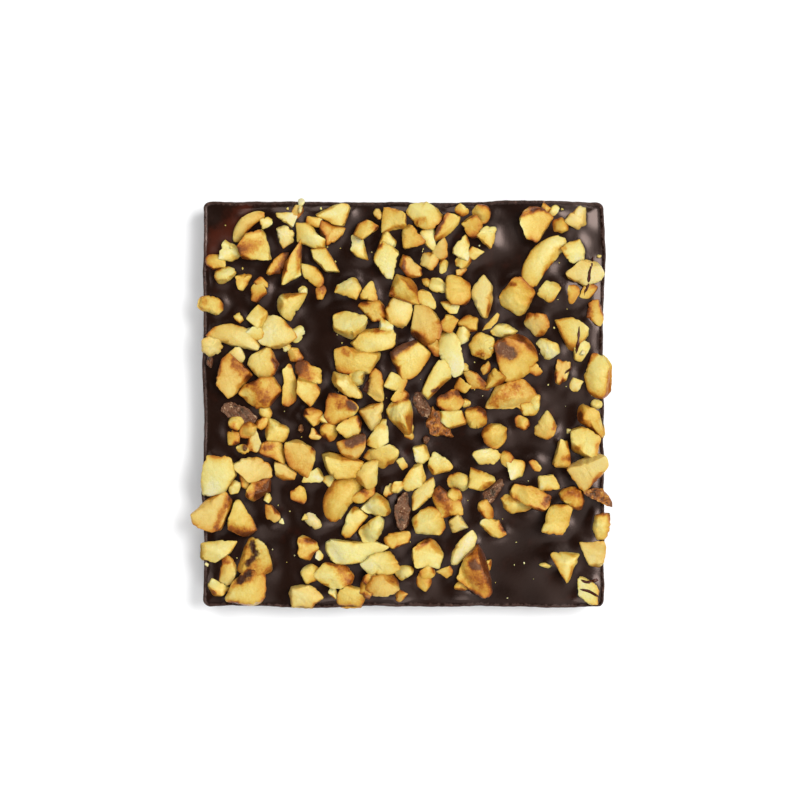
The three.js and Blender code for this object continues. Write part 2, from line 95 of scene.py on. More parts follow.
# The pieces of 5 mm and longer, each as x, y, length, breadth, the turn of its length in degrees and how far
# it is roasted, from 0 for pale cream to 1 for dark brown.
# A wedge's turn is the way its point faces. Later pieces lie on earlier ones.
PLACED = {
    "slice": [
        (-35, 40, 8.5, 3, 45, 0.4), (31.5, 32, 12.5, 5.5, 52, 0.22), (-13.5, -21, 10.5, 6, 54, 0.5),
    ],
    "chunk": [
        (-16, 38, 6.5, 5, -40, 0.5), (-15, 42.5, 7.5, 4.5, 18, 0.1), (-10.5, 35.5, 6.5, 4, 65, 0.1),
        (5, 42.5, 9.5, 6, -15, 0.18), (39, 42, 5.5, 5, 90, 0.1), (-26.5, 38, 5.5, 4.5, 90, 0.1),
        (-39, 34.5, 5, 5, 0, 0.1), (-28.5, 31.5, 7, 3.5, 50, 0.5), (1.5, 31, 6, 4.5, -45, 0.45),
        (41, 29.5, 8, 6, -20, 0.15), (18, 24.5, 10.5, 5.5, 85, 0.15), (-12.5, 26, 5.5, 5, 0, 0.15),
        (-43, 22.5, 6, 4.5, -22, 0.35), (-24.5, 22, 7.5, 6.5, 20, 0.25), (-28.5, 16.5, 9, 7.5, -25, 0.1),
        (-43, 13.5, 5, 5, 0, 0.15), (-7.5, 21, 6, 5, 0, 0.45), (-1, 20.5, 7, 6.5, 45, 0.2),
        (5, 18, 9, 7.5, -70, 0.5), (-12, 18, 7.5, 6.5, 10, 0.15), (43, 20, 6.5, 3.5, 90, 0.4),
        (29.5, 17.5, 6, 6, 0, 0.45), (-31.5, 9, 7, 7, 18, 0.3), (-38.5, 6.5, 10, 7.5, 95, 0.45),
        (-32, 2.5, 8, 7, 0, 0.6), (-21.5, 7.5, 6.5, 4.5, -30, 0.7), (-10.5, 9.5, 10.5, 6.5, 0, 0.4),
        (1.5, 10, 9, 8.5, 60, 0.25), (10.5, 12.5, 9, 4.5, -68, 0.1), (25.5, 9.5, 10.5, 8.5, 70, 0.45),
        (35.5, 7, 5.5, 4, 90, 0.45), (24, 2, 11.5, 5.5, 14, 0.5), (-14, -1, 7, 6.5, 70, 0.48),
        (10.5, 0.5, 6.5, 5.5, 0, 0.5), (11, -3.5, 6.5, 4.5, 0, 0.25), (42, -4, 7.5, 6, 70, 0.4),
        (40.5, -8.5, 7, 6.5, 10, 0.25), (-5.5, -7, 6.5, 4.5, 80, 0.2), (-12, -5.5, 6, 5.5, 0, 0.3),
        (-34, -14.5, 9, 5.5, -20, 0.25), (-29.5, -10.5, 6.5, 5.5, -30, 0.5), (-23, -12, 8.5, 7, -70, 0.5),
        (-11.5, -10, 7, 5.5, 20, 0.45), (-12.5, -14, 8.5, 6, 0, 0.35), (-8, -16, 6.5, 4.5, 60, 0.3),
        (-4.5, -12, 8, 5.5, -10, 0.4), (8, -13, 6, 5.5, 0, 0.15), (2, -16.5, 6, 5.5, 90, 0.15),
        (41, -15, 9, 8.5, 60, 0.25), (18.5, -11.5, 6.5, 3.5, 0, 0.1), (18, -17, 6.5, 5, 0, 0.3),
        (-32.5, -19, 6, 4.5, 0, 0.7), (-43, -24, 9, 8.5, 10, 0.35), (5.5, -26.5, 7, 6.5, 20, 0.2),
        (24.5, -22, 6.5, 4.5, 10, 0.3), (-1.5, -30.5, 6.5, 4, 0, 0.4), (-33.5, -34, 8.5, 5.5, 70, 0.3),
        (-39.5, -37.5, 6, 4, 95, 0.35), (-22, -32.5, 5, 5, 0, 0.4), (-22, -43.5, 7.5, 5.5, 10, 0.15),
        (-15.5, -38.5, 8.5, 7, -20, 0.25), (-10.5, -33.5, 14, 5.5, -3, 0.1), (-5, -36, 8, 6, 0, 0.15),
        (5.5, -33.5, 7.5, 7, 30, 0.25), (-4, -40.5, 8, 5.5, 5, 0.4), (-11.5, -43.5, 6.5, 5, 0, 0.35),
        (41.5, -42, 6.5, 5, 80, 0.1),
    ],
    "block": [
        (-21, 38, 8, 4.5, -32, 0.15), (-8.5, 38.5, 6.5, 4, 35, 0.4), (-2, 41.5, 5.5, 5.5, 0, 0.32),
        (-18, 32.5, 7, 3.5, -48, 0.2), (-20.5, 29, 7, 3.5, -38, 0.35), (38, 34, 5.5, 5, 0, 0.1),
        (12, 26, 6.5, 6, 90, 0.42), (-38, 15, 10.5, 4, -24, 0.25), (19.5, 18, 5.5, 2.5, 50, 0.4),
        (-6.5, 14, 9.5, 4.5, 6, 0.2), (18, 13, 6.5, 6, 0, 0.25), (32.5, 12.5, 5.5, 5, 0, 0.1),
        (-25.5, 4, 9.5, 3.5, 88, 0.4), (-6.5, 3, 10, 3, 85, 0.45), (7.5, 5.5, 9, 4.5, 52, 0.2),
        (16.5, 5, 6.5, 3.5, -35, 0.5), (-28, -6, 5.5, 5, 0, 0.25), (-41.5, -16, 9, 7.5, 90, 0.1),
        (-26.5, -15, 5.5, 3.5, 0, 0.4), (4, -20, 8.5, 3.5, 52, 0.15), (9.5, -22, 9.5, 4.5, -47, 0.6),
        (-9, -20.5, 5.5, 2.5, 20, 0.5), (-11, -26.5, 7.5, 5, 60, 0.25), (28.5, -21.5, 10, 5, -30, 0.5),
        (34.5, -26, 7, 6.5, -15, 0.35), (20, -28, 6.5, 3.5, -25, 0.3), (-41, -33, 7.5, 4, 20, 0.15),
        (13.5, -32.5, 8.5, 4, 60, 0),
    ],
    "wedge": [
        (-34, 36, 6.5, 6.5, 80, 0.3), (-26, 41.5, 5, 3.5, 270, 0.05), (10, 40, 7.5, 4, 230, 0.4),
        (30, 40, 7.5, 7.5, 262, 0.4), (2, 37.5, 6, 6, 200, 0.45), (-25.5, 31, 10, 4.5, 246, 0.3),
        (-3.5, 32, 8.5, 6, 268, 0.1), (13, 35, 6.5, 4.5, 90, 0.1), (18.5, 37.5, 5, 5, 190, 0.1),
        (38, 16, 7.5, 7, 265, 0.25), (-21.5, 2.5, 6.5, 5.5, 100, 0.35), (-7, -2, 6, 5.5, 60, 0.2),
        (32, -5, 6.5, 5, 90, 0.4), (36, -11, 6.5, 4, 90, 0.4), (-36.5, -26, 8.5, 6.5, 105, 0.4),
        (-35.5, -41.5, 9, 8, 185, 0.35), (43, -33.5, 6, 5.5, 270, 0.25), (36, -36.5, 7, 6.5, 268, 0.15),
    ],
    "dome": [
        (-40.5, 29.5, 5, 4, 0, 0.1), (25.5, 24, 8, 7.5, 0, 0.4), (0.5, 25.5, 7, 6.5, 40, 0.38),
        (23, 16.5, 6.5, 3.5, -10, 0.05), (-12.5, 4, 8.5, 4.5, -45, 0.15), (43.5, 6.5, 10.5, 6.5, 90, 0.3),
        (-1, -3, 8.5, 6.5, 100, 0.2), (16.5, -2.5, 5.5, 5.5, 0, 0.5), (20.5, -7.5, 5.5, 5.5, 0, 0.4),
        (38, -21, 5.5, 5, 0, 0.45), (-6, -22.5, 6.5, 4.5, 0, 0.15), (-7, -28, 6.5, 5.5, 75, 0.1),
        (44.5, -27.5, 6.5, 4, 90, 0.25), (15.5, -37.5, 9.5, 6.5, -65, 0.7),
    ],
    "flake": [
        (-37, -2, 8.5, 4, -20, 0.9), (4, 0, 9, 3, -55, 0.9), (7.5, -4, 6, 4.5, 40, 0.45),
        (20, -19.5, 6.5, 2.5, 55, 0.9), (0, -23.5, 8.5, 3.5, 80, 0.9), (43.5, -21, 7.5, 2.5, -35, 0.5),
    ],
}

# The outlines of those pieces as they lie on the bar: the corners in plan, clockwise, by the piece's x and y
OUTLINES = {
    (-16, 38): [(-18.5, 41.5), (-13, 39.5), (-13.5, 38), (-16, 36), (-17.5, 35.5), (-19, 39)],
    (-15, 42.5): [(-19.5, 42.5), (-15, 45), (-12.5, 45), (-12, 44), (-12.5, 42), (-13.5, 40), (-16, 40.5)],
    (-10.5, 35.5): [(-11, 38.5), (-9, 37.5), (-8, 32.5), (-10.5, 33), (-12, 34.5), (-12, 37.5)],
    (5, 42.5): [(0.5, 43.5), (1, 45), (2.5, 45.5), (5, 45.5), (7, 44.5), (9, 42), (6.5, 39.5), (3.5, 39.5)],
    (39, 42): [(38.5, 44), (39.5, 44.5), (41, 44), (41, 40.5), (39, 39), (36, 41), (36.5, 42)],
    (-26.5, 38): [
        (-28.5, 39.5), (-27.5, 40), (-26, 40), (-24.5, 38.5), (-24.5, 36.5), (-27, 35), (-28, 36.5),
    ],
    (-39, 34.5): [
        (-40, 37), (-38.5, 36.5), (-37, 35.5), (-36.5, 34), (-37, 32.5), (-38.5, 32), (-41.5, 32.5),
        (-41, 35),
    ],
    (-28.5, 31.5): [(-27.5, 34), (-25.5, 34), (-27.5, 29), (-30, 29), (-31, 29.5), (-30, 31.5)],
    (1.5, 31): [(0, 33.5), (1.5, 33), (4, 30.5), (4, 29), (3, 28.5), (1, 28.5), (-1, 31), (-0.5, 32.5)],
    (41, 29.5): [
        (36.5, 30), (40.5, 32.5), (43, 32.5), (44, 32), (45, 29.5), (44.5, 28), (41, 26.5), (37, 28),
    ],
    (18, 24.5): [(18, 29), (20, 26.5), (20, 23), (19, 19.5), (17.5, 19.5), (15, 24.5), (15.5, 26.5)],
    (-12.5, 26): [(-12, 28.5), (-10.5, 28), (-9.5, 26), (-10, 24.5), (-10.5, 23.5), (-15.5, 25), (-15, 27)],
    (-43, 22.5): [
        (-44.5, 24.5), (-42, 24), (-40.5, 22.5), (-40.5, 21), (-42, 20), (-45, 21), (-46, 22), (-45.5, 24),
    ],
    (-24.5, 22): [
        (-28, 24.5), (-22.5, 25), (-21.5, 24.5), (-24.5, 19.5), (-25.5, 18.5), (-28, 20.5), (-28.5, 23.5),
    ],
    (-28.5, 16.5): [
        (-33, 15), (-32.5, 16.5), (-31, 19.5), (-29.5, 20), (-27.5, 19.5), (-25.5, 17.5), (-24, 15),
        (-26.5, 13), (-29, 12.5), (-32, 13.5),
    ],
    (-43, 13.5): [
        (-45.5, 13.5), (-44.5, 15), (-43.5, 15.5), (-41, 14.5), (-40.5, 13.5), (-41, 11.5), (-43.5, 10.5),
        (-45, 12),
    ],
    (-7.5, 21): [
        (-9.5, 23), (-8, 23.5), (-5.5, 23.5), (-4.5, 22.5), (-4, 19.5), (-4.5, 18.5), (-7, 18.5),
        (-10, 22),
    ],
    (-1, 20.5): [(-2.5, 24), (2, 22.5), (1.5, 19), (0, 17), (-1, 17), (-4, 19), (-4.5, 21)],
    (5, 18): [(2.5, 22), (4.5, 22), (6.5, 21), (8.5, 18), (8, 15), (6, 13.5), (4.5, 13.5), (1.5, 16.5)],
    (-12, 18): [(-15.5, 20), (-13, 21), (-9, 20), (-8, 19), (-9, 16.5), (-11.5, 14.5), (-15.5, 16.5)],
    (43, 20): [(41.5, 22.5), (42.5, 23.5), (44, 23.5), (45, 19), (44.5, 17.5), (43.5, 17.5), (41, 19.5)],
    (29.5, 17.5): [
        (28, 20.5), (29.5, 20.5), (32, 20), (32.5, 18.5), (32.5, 17), (31.5, 15.5), (29.5, 15), (27, 18),
    ],
    (-31.5, 9): [
        (-32.5, 12), (-30.5, 13), (-29.5, 12), (-28, 9), (-29.5, 6), (-31.5, 5.5), (-33, 6.5), (-35, 9),
        (-34, 11),
    ],
    (-38.5, 6.5): [
        (-39.5, 11), (-38.5, 11), (-34, 6.5), (-36, 4), (-39.5, 1), (-40, 1.5), (-42, 4.5), (-42, 6.5),
        (-41, 9.5),
    ],
    (-32, 2.5): [(-36, 4), (-32, 6), (-29.5, 6), (-27.5, 3), (-29.5, 0), (-31, -1), (-33, -1), (-37, 2.5)],
    (-21.5, 7.5): [
        (-24, 9.5), (-23, 10), (-21.5, 9.5), (-18.5, 8), (-18.5, 5), (-19, 4.5), (-23.5, 6), (-24.5, 8),
    ],
    (-10.5, 9.5): [
        (-15.5, 12), (-14.5, 12.5), (-11.5, 13), (-5.5, 11.5), (-5.5, 10), (-8, 7), (-10.5, 6.5),
        (-14.5, 7), (-15.5, 8.5),
    ],
    (1.5, 10): [
        (-3, 11.5), (-1.5, 13), (0.5, 14), (2.5, 14.5), (6, 11.5), (5, 9), (3.5, 7), (1.5, 5.5),
        (-0.5, 5.5),
    ],
    (10.5, 12.5): [
        (8, 15.5), (9, 16.5), (10.5, 16.5), (12.5, 14.5), (13.5, 8), (13, 7), (11, 6), (7.5, 12),
    ],
    (25.5, 9.5): [
        (21, 14), (26, 15.5), (27.5, 15), (29, 13.5), (30, 11.5), (30, 9.5), (28, 6.5), (23, 5),
        (22.5, 5.5), (20.5, 13),
    ],
    (35.5, 7): [(33.5, 7.5), (34, 9), (34.5, 10), (37.5, 9.5), (37.5, 8), (36.5, 5.5), (35, 4.5), (34, 5)],
    (24, 2): [
        (18.5, -0.5), (21, 4), (26, 5.5), (27.5, 5), (29, 3.5), (30, 2), (29.5, 0.5), (28, -1), (19, -1),
    ],
    (-14, -1): [
        (-16.5, 2.5), (-15, 2.5), (-12, 1), (-10.5, -0.5), (-11, -2), (-15, -4.5), (-16.5, -5),
        (-18, -3.5), (-17.5, -1),
    ],
    (10.5, 0.5): [
        (7.5, 1.5), (9.5, 3), (12, 3.5), (13.5, 0.5), (13, -0.5), (11.5, -2), (9.5, -2), (7.5, -0.5),
    ],
    (11, -3.5): [(8, -1.5), (13, -1.5), (14, -3.5), (14, -4.5), (10.5, -5.5), (9.5, -5), (8, -3.5)],
    (42, -4): [
        (39, -2.5), (39.5, -0.5), (40.5, 0), (42, -0.5), (44, -2), (45, -6.5), (44.5, -7.5), (43.5, -7),
        (39.5, -4),
    ],
    (40.5, -8.5): [
        (37.5, -6), (40, -5), (41, -5), (43.5, -7), (44, -8), (43, -12), (41.5, -12), (38.5, -10.5),
        (37.5, -9),
    ],
    (-5.5, -7): [(-6, -4.5), (-5, -3.5), (-3.5, -3.5), (-3.5, -8.5), (-5.5, -10), (-8, -9), (-8, -8)],
    (-12, -5.5): [
        (-15, -5.5), (-14, -4), (-12.5, -3), (-10.5, -2.5), (-9.5, -4), (-9.5, -5.5), (-10, -7), (-12, -8),
        (-13, -7.5),
    ],
    (-34, -14.5): [
        (-38.5, -13.5), (-37, -12.5), (-35, -12), (-32.5, -12), (-30.5, -13), (-29.5, -14.5), (-29.5, -16),
        (-31, -17), (-34.5, -17.5),
    ],
    (-29.5, -10.5): [
        (-32, -9), (-30, -8), (-28, -8), (-27, -9), (-26.5, -11), (-26.5, -13), (-27, -13.5), (-32.5, -11),
    ],
    (-23, -12): [
        (-26.5, -9), (-25, -8), (-23.5, -8), (-20, -10), (-19.5, -11.5), (-21, -16), (-22, -16.5),
        (-26, -13.5),
    ],
    (-11.5, -10): [
        (-15, -8.5), (-14, -8), (-9, -6.5), (-8, -8), (-8.5, -10), (-10, -12), (-11.5, -13),
        (-12.5, -12.5), (-14, -11),
    ],
    (-12.5, -14): [
        (-18, -11.5), (-16.5, -11), (-10, -12.5), (-9, -13), (-11, -16.5), (-15.5, -16.5), (-17, -14.5),
    ],
    (-8, -16): [
        (-10, -14.5), (-9, -13.5), (-7, -12.5), (-6, -12.5), (-5.5, -13), (-6, -17.5), (-7, -18.5),
        (-8, -19), (-9.5, -18), (-11, -16),
    ],
    (-4.5, -12): [
        (-9, -12), (-8, -10), (-3, -9), (-1.5, -10), (-1, -11.5), (-2, -13.5), (-4, -14.5), (-5, -14.5),
    ],
    (8, -13): [
        (6, -11.5), (6.5, -10.5), (7.5, -10.5), (10, -12.5), (11, -14), (10.5, -15), (6.5, -16),
        (5.5, -14),
    ],
    (2, -16.5): [
        (-0.5, -18), (1.5, -14.5), (2.5, -13.5), (4, -13), (5, -16.5), (4.5, -18.5), (1, -19.5), (0, -19),
    ],
    (41, -15): [
        (36.5, -14.5), (37.5, -13.5), (43.5, -11), (45, -12), (45.5, -13.5), (45, -15), (41, -19),
        (39.5, -19), (37, -15.5),
    ],
    (18.5, -11.5): [
        (15.5, -11.5), (16, -10.5), (19, -9.5), (20.5, -10), (22, -11), (22, -12), (20.5, -13.5),
        (17, -13.5),
    ],
    (18, -17): [(15, -14), (17, -14.5), (20.5, -16), (20.5, -17.5), (18, -19.5), (16, -19), (14.5, -18.5)],
    (-32.5, -19): [
        (-33.5, -17), (-30, -16.5), (-30, -19.5), (-33.5, -21.5), (-35, -21), (-35.5, -20), (-35, -19),
    ],
    (-43, -24): [
        (-42, -20), (-40, -19.5), (-38.5, -21.5), (-38.5, -22.5), (-41, -28), (-42, -28.5), (-47, -27),
        (-47.5, -24.5), (-45, -22),
    ],
    (5.5, -26.5): [
        (2, -25), (3, -23.5), (5.5, -23), (7.5, -23.5), (9.5, -27), (9, -28.5), (8, -29.5), (3, -29),
        (2, -27),
    ],
    (24.5, -22): [(21.5, -21), (23, -20), (25, -20.5), (29, -23), (27.5, -24), (24, -24.5), (22.5, -23)],
    (-1.5, -30.5): [(-4.5, -30), (-3.5, -29), (1, -28.5), (1.5, -29.5), (1, -31), (-2, -32.5), (-4, -31.5)],
    (-33.5, -34): [
        (-35, -30.5), (-34, -30), (-32.5, -30.5), (-30.5, -32), (-29.5, -37), (-30.5, -38), (-37, -37.5),
        (-37.5, -37), (-36, -33),
    ],
    (-39.5, -37.5): [
        (-41, -35), (-39.5, -34), (-38.5, -34.5), (-37.5, -36), (-37.5, -38), (-38.5, -40), (-39.5, -40.5),
        (-41, -40), (-41.5, -39.5),
    ],
    (-22, -32.5): [
        (-23.5, -30), (-22.5, -29.5), (-19.5, -31), (-19, -32.5), (-21, -35), (-23, -34.5), (-24, -33.5),
        (-24, -32),
    ],
    (-22, -43.5): [
        (-25.5, -42.5), (-25, -41), (-23, -40.5), (-20.5, -40.5), (-18.5, -42.5), (-18, -43.5),
        (-20.5, -45.5), (-25, -45.5),
    ],
    (-15.5, -38.5): [
        (-18, -35.5), (-13.5, -36), (-12, -37), (-11, -38.5), (-12, -40.5), (-14.5, -41.5), (-16, -41.5),
        (-20, -39), (-20, -38),
    ],
    (-10.5, -33.5): [
        (-17, -31), (-16, -30.5), (-6, -31), (-3.5, -32), (-5, -33.5), (-9, -35.5), (-14.5, -36),
        (-16, -35), (-17, -33),
    ],
    (-5, -36): [
        (-9.5, -36), (-7.5, -33.5), (-3.5, -33), (-2.5, -33.5), (-1, -37), (-3, -38), (-7, -38.5),
        (-8.5, -37.5),
    ],
    (5.5, -33.5): [
        (2, -33), (3, -31.5), (4.5, -30.5), (6, -30), (7, -30.5), (9, -33.5), (8.5, -35.5), (8, -37),
        (3, -36.5), (2, -35),
    ],
    (-4, -40.5): [
        (-8.5, -41.5), (-8, -40), (-7, -38.5), (-4.5, -38), (-3, -38.5), (-1, -40.5), (-1, -41.5),
        (-2.5, -42.5), (-4.5, -43), (-7, -43),
    ],
    (-11.5, -43.5): [
        (-15, -43), (-14, -41.5), (-12.5, -40.5), (-10.5, -41), (-9, -41.5), (-8.5, -43.5), (-9.5, -45.5),
        (-14, -45.5), (-15, -44.5),
    ],
    (41.5, -42): [
        (39, -39), (39.5, -38.5), (41.5, -39), (43, -40), (44, -42), (43.5, -45), (42, -45), (39, -43),
    ],
    (-21, 38): [(-24, 40.5), (-21.5, 40.5), (-19.5, 39), (-17.5, 37), (-18, 35), (-20, 35), (-24, 36.5)],
    (-8.5, 38.5): [(-10, 40.5), (-8, 41.5), (-7, 41), (-5.5, 40), (-6, 39), (-9, 37), (-11, 38)],
    (-2, 41.5): [(-4.5, 44), (-3, 44), (-0.5, 43.5), (0.5, 42.5), (0.5, 39.5), (-5, 38.5), (-5, 39.5)],
    (-18, 32.5): [(-20.5, 34.5), (-17.5, 35), (-14.5, 30), (-17.5, 30), (-20, 32.5)],
    (-20.5, 29): [
        (-23, 31.5), (-22, 31.5), (-19.5, 30.5), (-18, 28.5), (-18, 27), (-19, 26), (-20, 26.5),
        (-22.5, 28.5),
    ],
    (38, 34): [(35, 35), (36.5, 36), (39.5, 37), (40.5, 34.5), (40.5, 32.5), (38.5, 31.5), (37, 32)],
    (12, 26): [(9.5, 29), (11, 29), (13.5, 28), (15, 27), (15, 23.5), (14, 22.5), (11, 22.5), (9.5, 24)],
    (-38, 15): [(-44, 15.5), (-42, 17.5), (-39, 18), (-35, 17), (-32.5, 13), (-33, 12), (-41, 14)],
    (19.5, 18): [(21, 20.5), (21.5, 20), (21, 18.5), (19.5, 17), (17.5, 16.5), (18, 17.5)],
    (-6.5, 14): [
        (-11.5, 13.5), (-9, 16.5), (-4, 17), (-2.5, 17), (-2, 16), (-2, 13.5), (-3, 12.5), (-7.5, 11.5),
        (-9, 11.5), (-10.5, 12.5),
    ],
    (18, 13): [
        (14.5, 13.5), (16, 15.5), (17.5, 16), (19, 15.5), (20.5, 14.5), (20.5, 13), (20, 11), (18.5, 10),
        (15.5, 11),
    ],
    (32.5, 12.5): [
        (29.5, 13.5), (31, 15), (32.5, 15), (34.5, 13.5), (35, 12.5), (35, 11.5), (33, 10), (31.5, 10),
    ],
    (-25.5, 4): [(-26, 9), (-25, 8.5), (-24, 5), (-24, 1), (-26, -0.5), (-27, 0), (-27, 7.5)],
    (-6.5, 3): [
        (-6.5, 8), (-5, 7), (-4.5, 5), (-4.5, 1), (-5, 0.5), (-6.5, 1), (-9, 3), (-9, 3.5), (-7.5, 7),
    ],
    (7.5, 5.5): [(4.5, 4), (7.5, 9.5), (8.5, 10), (9.5, 10), (11, 7), (10.5, 6), (5.5, 1.5), (4.5, 2.5)],
    (16.5, 5): [(13.5, 7), (15, 7.5), (16.5, 7), (19.5, 4), (19, 3), (15, 3.5)],
    (-28, -6): [
        (-30.5, -3), (-29, -3.5), (-25.5, -5.5), (-25.5, -6), (-27, -8.5), (-30.5, -8.5), (-31, -6),
    ],
    (-41.5, -16): [
        (-44, -11.5), (-39, -12), (-38, -13), (-37.5, -16), (-40, -19.5), (-43.5, -20.5), (-45, -20),
        (-45.5, -18), (-45, -14),
    ],
    (-26.5, -15): [(-29, -13), (-26.5, -13.5), (-24, -15.5), (-24.5, -17), (-27, -17), (-28.5, -16)],
    (4, -20): [
        (2, -23.5), (2, -20.5), (2.5, -19.5), (5.5, -17), (6.5, -16.5), (7, -18.5), (6.5, -20.5),
        (3, -23.5),
    ],
    (9.5, -22): [
        (7, -19), (8, -18.5), (12.5, -21.5), (13, -23), (13, -24.5), (9, -25.5), (8.5, -25.5), (6.5, -21),
    ],
    (-9, -20.5): [(-12, -21), (-8.5, -18.5), (-6.5, -18.5), (-6.5, -20), (-9, -22), (-10.5, -22)],
    (-11, -26.5): [(-12, -23.5), (-10.5, -23), (-8, -25), (-8.5, -26), (-12, -30), (-13, -30), (-14, -29)],
    (28.5, -21.5): [
        (24, -19.5), (25, -18), (29, -18.5), (32, -19.5), (33, -20.5), (32.5, -23), (31.5, -24),
        (29.5, -23.5), (24.5, -21),
    ],
    (34.5, -26): [
        (32.5, -23), (37, -22.5), (38, -23.5), (35.5, -29), (34.5, -29), (31, -28.5), (31, -27.5),
    ],
    (20, -28): [(17, -27), (17.5, -26), (19, -25.5), (21.5, -26), (23, -29), (21.5, -30), (20, -30)],
    (-41, -33): [
        (-45, -31), (-38, -30.5), (-37.5, -30.5), (-38, -32), (-39, -33.5), (-42, -35.5), (-43.5, -35.5),
        (-45, -34.5),
    ],
    (13.5, -32.5): [
        (10.5, -34.5), (11, -33), (12.5, -30.5), (15, -28.5), (15.5, -28.5), (16.5, -30), (16, -32),
        (12.5, -36), (11, -36),
    ],
    (-34, 36): [(-35, 38), (-32, 39), (-31, 38), (-30, 34), (-30, 32), (-32, 32), (-36, 33), (-37, 35.5)],
    (-26, 41.5): [(-28.5, 43), (-23.5, 43), (-25, 39.5), (-28.5, 42)],
    (10, 40): [(10, 42.5), (12.5, 42), (12, 40), (10, 38), (7, 36.5), (7, 38)],
    (30, 40): [
        (26.5, 42.5), (27.5, 44), (30, 44.5), (32.5, 43.5), (33.5, 42), (30, 36.5), (27.5, 37.5),
        (26, 41.5),
    ],
    (2, 37.5): [(0, 39.5), (1.5, 40.5), (2, 40), (5, 36.5), (4.5, 36), (2, 35), (0, 35), (-0.5, 37)],
    (-25.5, 31): [(-23, 36), (-23, 29), (-27, 26.5), (-27.5, 26.5), (-27.5, 28), (-26.5, 32)],
    (-3.5, 32): [
        (-5, 36.5), (-2, 35), (-1, 34), (-1.5, 31.5), (-2.5, 28), (-4, 28.5), (-6.5, 32), (-6.5, 33.5),
    ],
    (13, 35): [(14, 38), (15, 36), (15, 34), (14.5, 32), (13, 32.5), (11, 34), (11, 35)],
    (18.5, 37.5): [(16, 38), (17.5, 39.5), (19, 40), (20.5, 40), (21, 39), (19.5, 35)],
    (38, 16): [(34, 19), (38, 19.5), (39.5, 19), (41.5, 17), (41, 15), (38.5, 12), (37, 12.5)],
    (-21.5, 2.5): [
        (-23.5, 6), (-21.5, 5.5), (-20, 5), (-19, 4), (-18.5, 2.5), (-20.5, -0.5), (-21, -0.5), (-24, 2.5),
    ],
    (-7, -2): [(-10, -1.5), (-6, 0.5), (-4.5, 0.5), (-4.5, -2), (-5, -3.5), (-7, -5.5), (-8, -4.5)],
    (32, -5): [
        (29, -6), (32, -1.5), (32.5, -1.5), (34.5, -5), (34, -6.5), (33, -7.5), (32, -8), (29.5, -7),
    ],
    (36, -11): [
        (35, -8), (36.5, -8), (37, -9), (37.5, -12), (37.5, -13.5), (37, -14), (34, -14), (33.5, -13.5),
    ],
    (-36.5, -26): [
        (-38, -22), (-37, -21.5), (-36, -22), (-33.5, -26), (-33, -28), (-35, -30), (-36, -30),
        (-39.5, -28),
    ],
    (-35.5, -41.5): [
        (-35, -37), (-32.5, -37), (-31.5, -37.5), (-31, -39.5), (-31, -42.5), (-32.5, -44.5), (-34.5, -45),
        (-39.5, -44), (-40, -43), (-38, -39.5),
    ],
    (43, -33.5): [
        (39.5, -31), (45, -30.5), (45.5, -32), (44.5, -36), (44, -36.5), (42.5, -36.5), (41.5, -35.5),
    ],
    (36, -36.5): [(33, -34), (34, -33), (39.5, -33.5), (39.5, -34), (37, -40), (36.5, -40)],
    (-40.5, 29.5): [
        (-42.5, 30), (-41, 31), (-39, 31), (-38, 30.5), (-37.5, 29.5), (-38.5, 28), (-40, 27), (-41.5, 27),
        (-42.5, 28.5),
    ],
    (25.5, 24): [
        (25, 28.5), (26.5, 28.5), (29.5, 25), (29, 23.5), (27, 20.5), (26, 20), (22, 22.5), (21.5, 24),
    ],
    (0.5, 25.5): [(-1.5, 29), (1.5, 28), (3, 26), (3.5, 22.5), (2, 22.5), (-3, 24.5), (-2.5, 26.5)],
    (23, 16.5): [(21, 18), (23, 18), (25.5, 16.5), (24.5, 15.5), (22, 15), (20, 15.5), (19.5, 16.5)],
    (-12.5, 4): [
        (-15.5, 7), (-12.5, 6.5), (-11.5, 5.5), (-9.5, 2.5), (-9.5, 1.5), (-10.5, 1), (-12.5, 1.5),
        (-14, 2.5), (-15.5, 4), (-16, 5.5),
    ],
    (43.5, 6.5): [
        (40.5, 6), (41, 8.5), (42, 11), (43, 11.5), (45, 10.5), (46.5, 8.5), (46.5, 4.5), (46, 2.5),
        (45, 1.5), (43, 1.5), (41.5, 2.5),
    ],
    (-1, -3): [
        (-4, -1.5), (-3, 0.5), (-1.5, 1.5), (0, 1.5), (1.5, 0.5), (2, -1.5), (2, -6), (1.5, -7), (0.5, -7),
        (-3, -3.5),
    ],
    (16.5, -2.5): [
        (14, -1), (15.5, -0.5), (17, -0.5), (18.5, -1.5), (19, -3), (18.5, -4.5), (17, -5.5), (15, -5.5),
        (14, -4),
    ],
    (20.5, -7.5): [
        (17.5, -7), (18, -5.5), (19.5, -4.5), (21.5, -4.5), (23, -5.5), (23, -7), (22.5, -8.5), (21, -10),
        (20, -10), (18.5, -9),
    ],
    (38, -21): [
        (35, -20), (36, -19), (37.5, -18.5), (39, -18.5), (40, -19.5), (40.5, -21.5), (40, -23),
        (39, -23.5), (37.5, -23), (35.5, -21.5),
    ],
    (-6, -22.5): [
        (-9.5, -23.5), (-7, -20.5), (-6, -20), (-5, -20.5), (-3.5, -22), (-3, -24), (-4, -25), (-5.5, -25),
        (-9, -24),
    ],
    (-7, -28): [
        (-8.5, -26.5), (-7, -25.5), (-5.5, -25), (-4.5, -26), (-4.5, -27.5), (-6, -30.5), (-7, -31.5),
        (-8.5, -31.5), (-9.5, -30), (-10, -28),
    ],
    (44.5, -27.5): [
        (43, -25), (44, -24.5), (46, -24.5), (46.5, -27), (46, -29.5), (45, -30.5), (43.5, -30.5),
        (42.5, -28),
    ],
    (15.5, -37.5): [
        (14, -34.5), (16.5, -32), (17.5, -33), (18.5, -35), (20, -41.5), (19, -43), (18, -43.5), (12, -39),
    ],
    (-37, -2): [
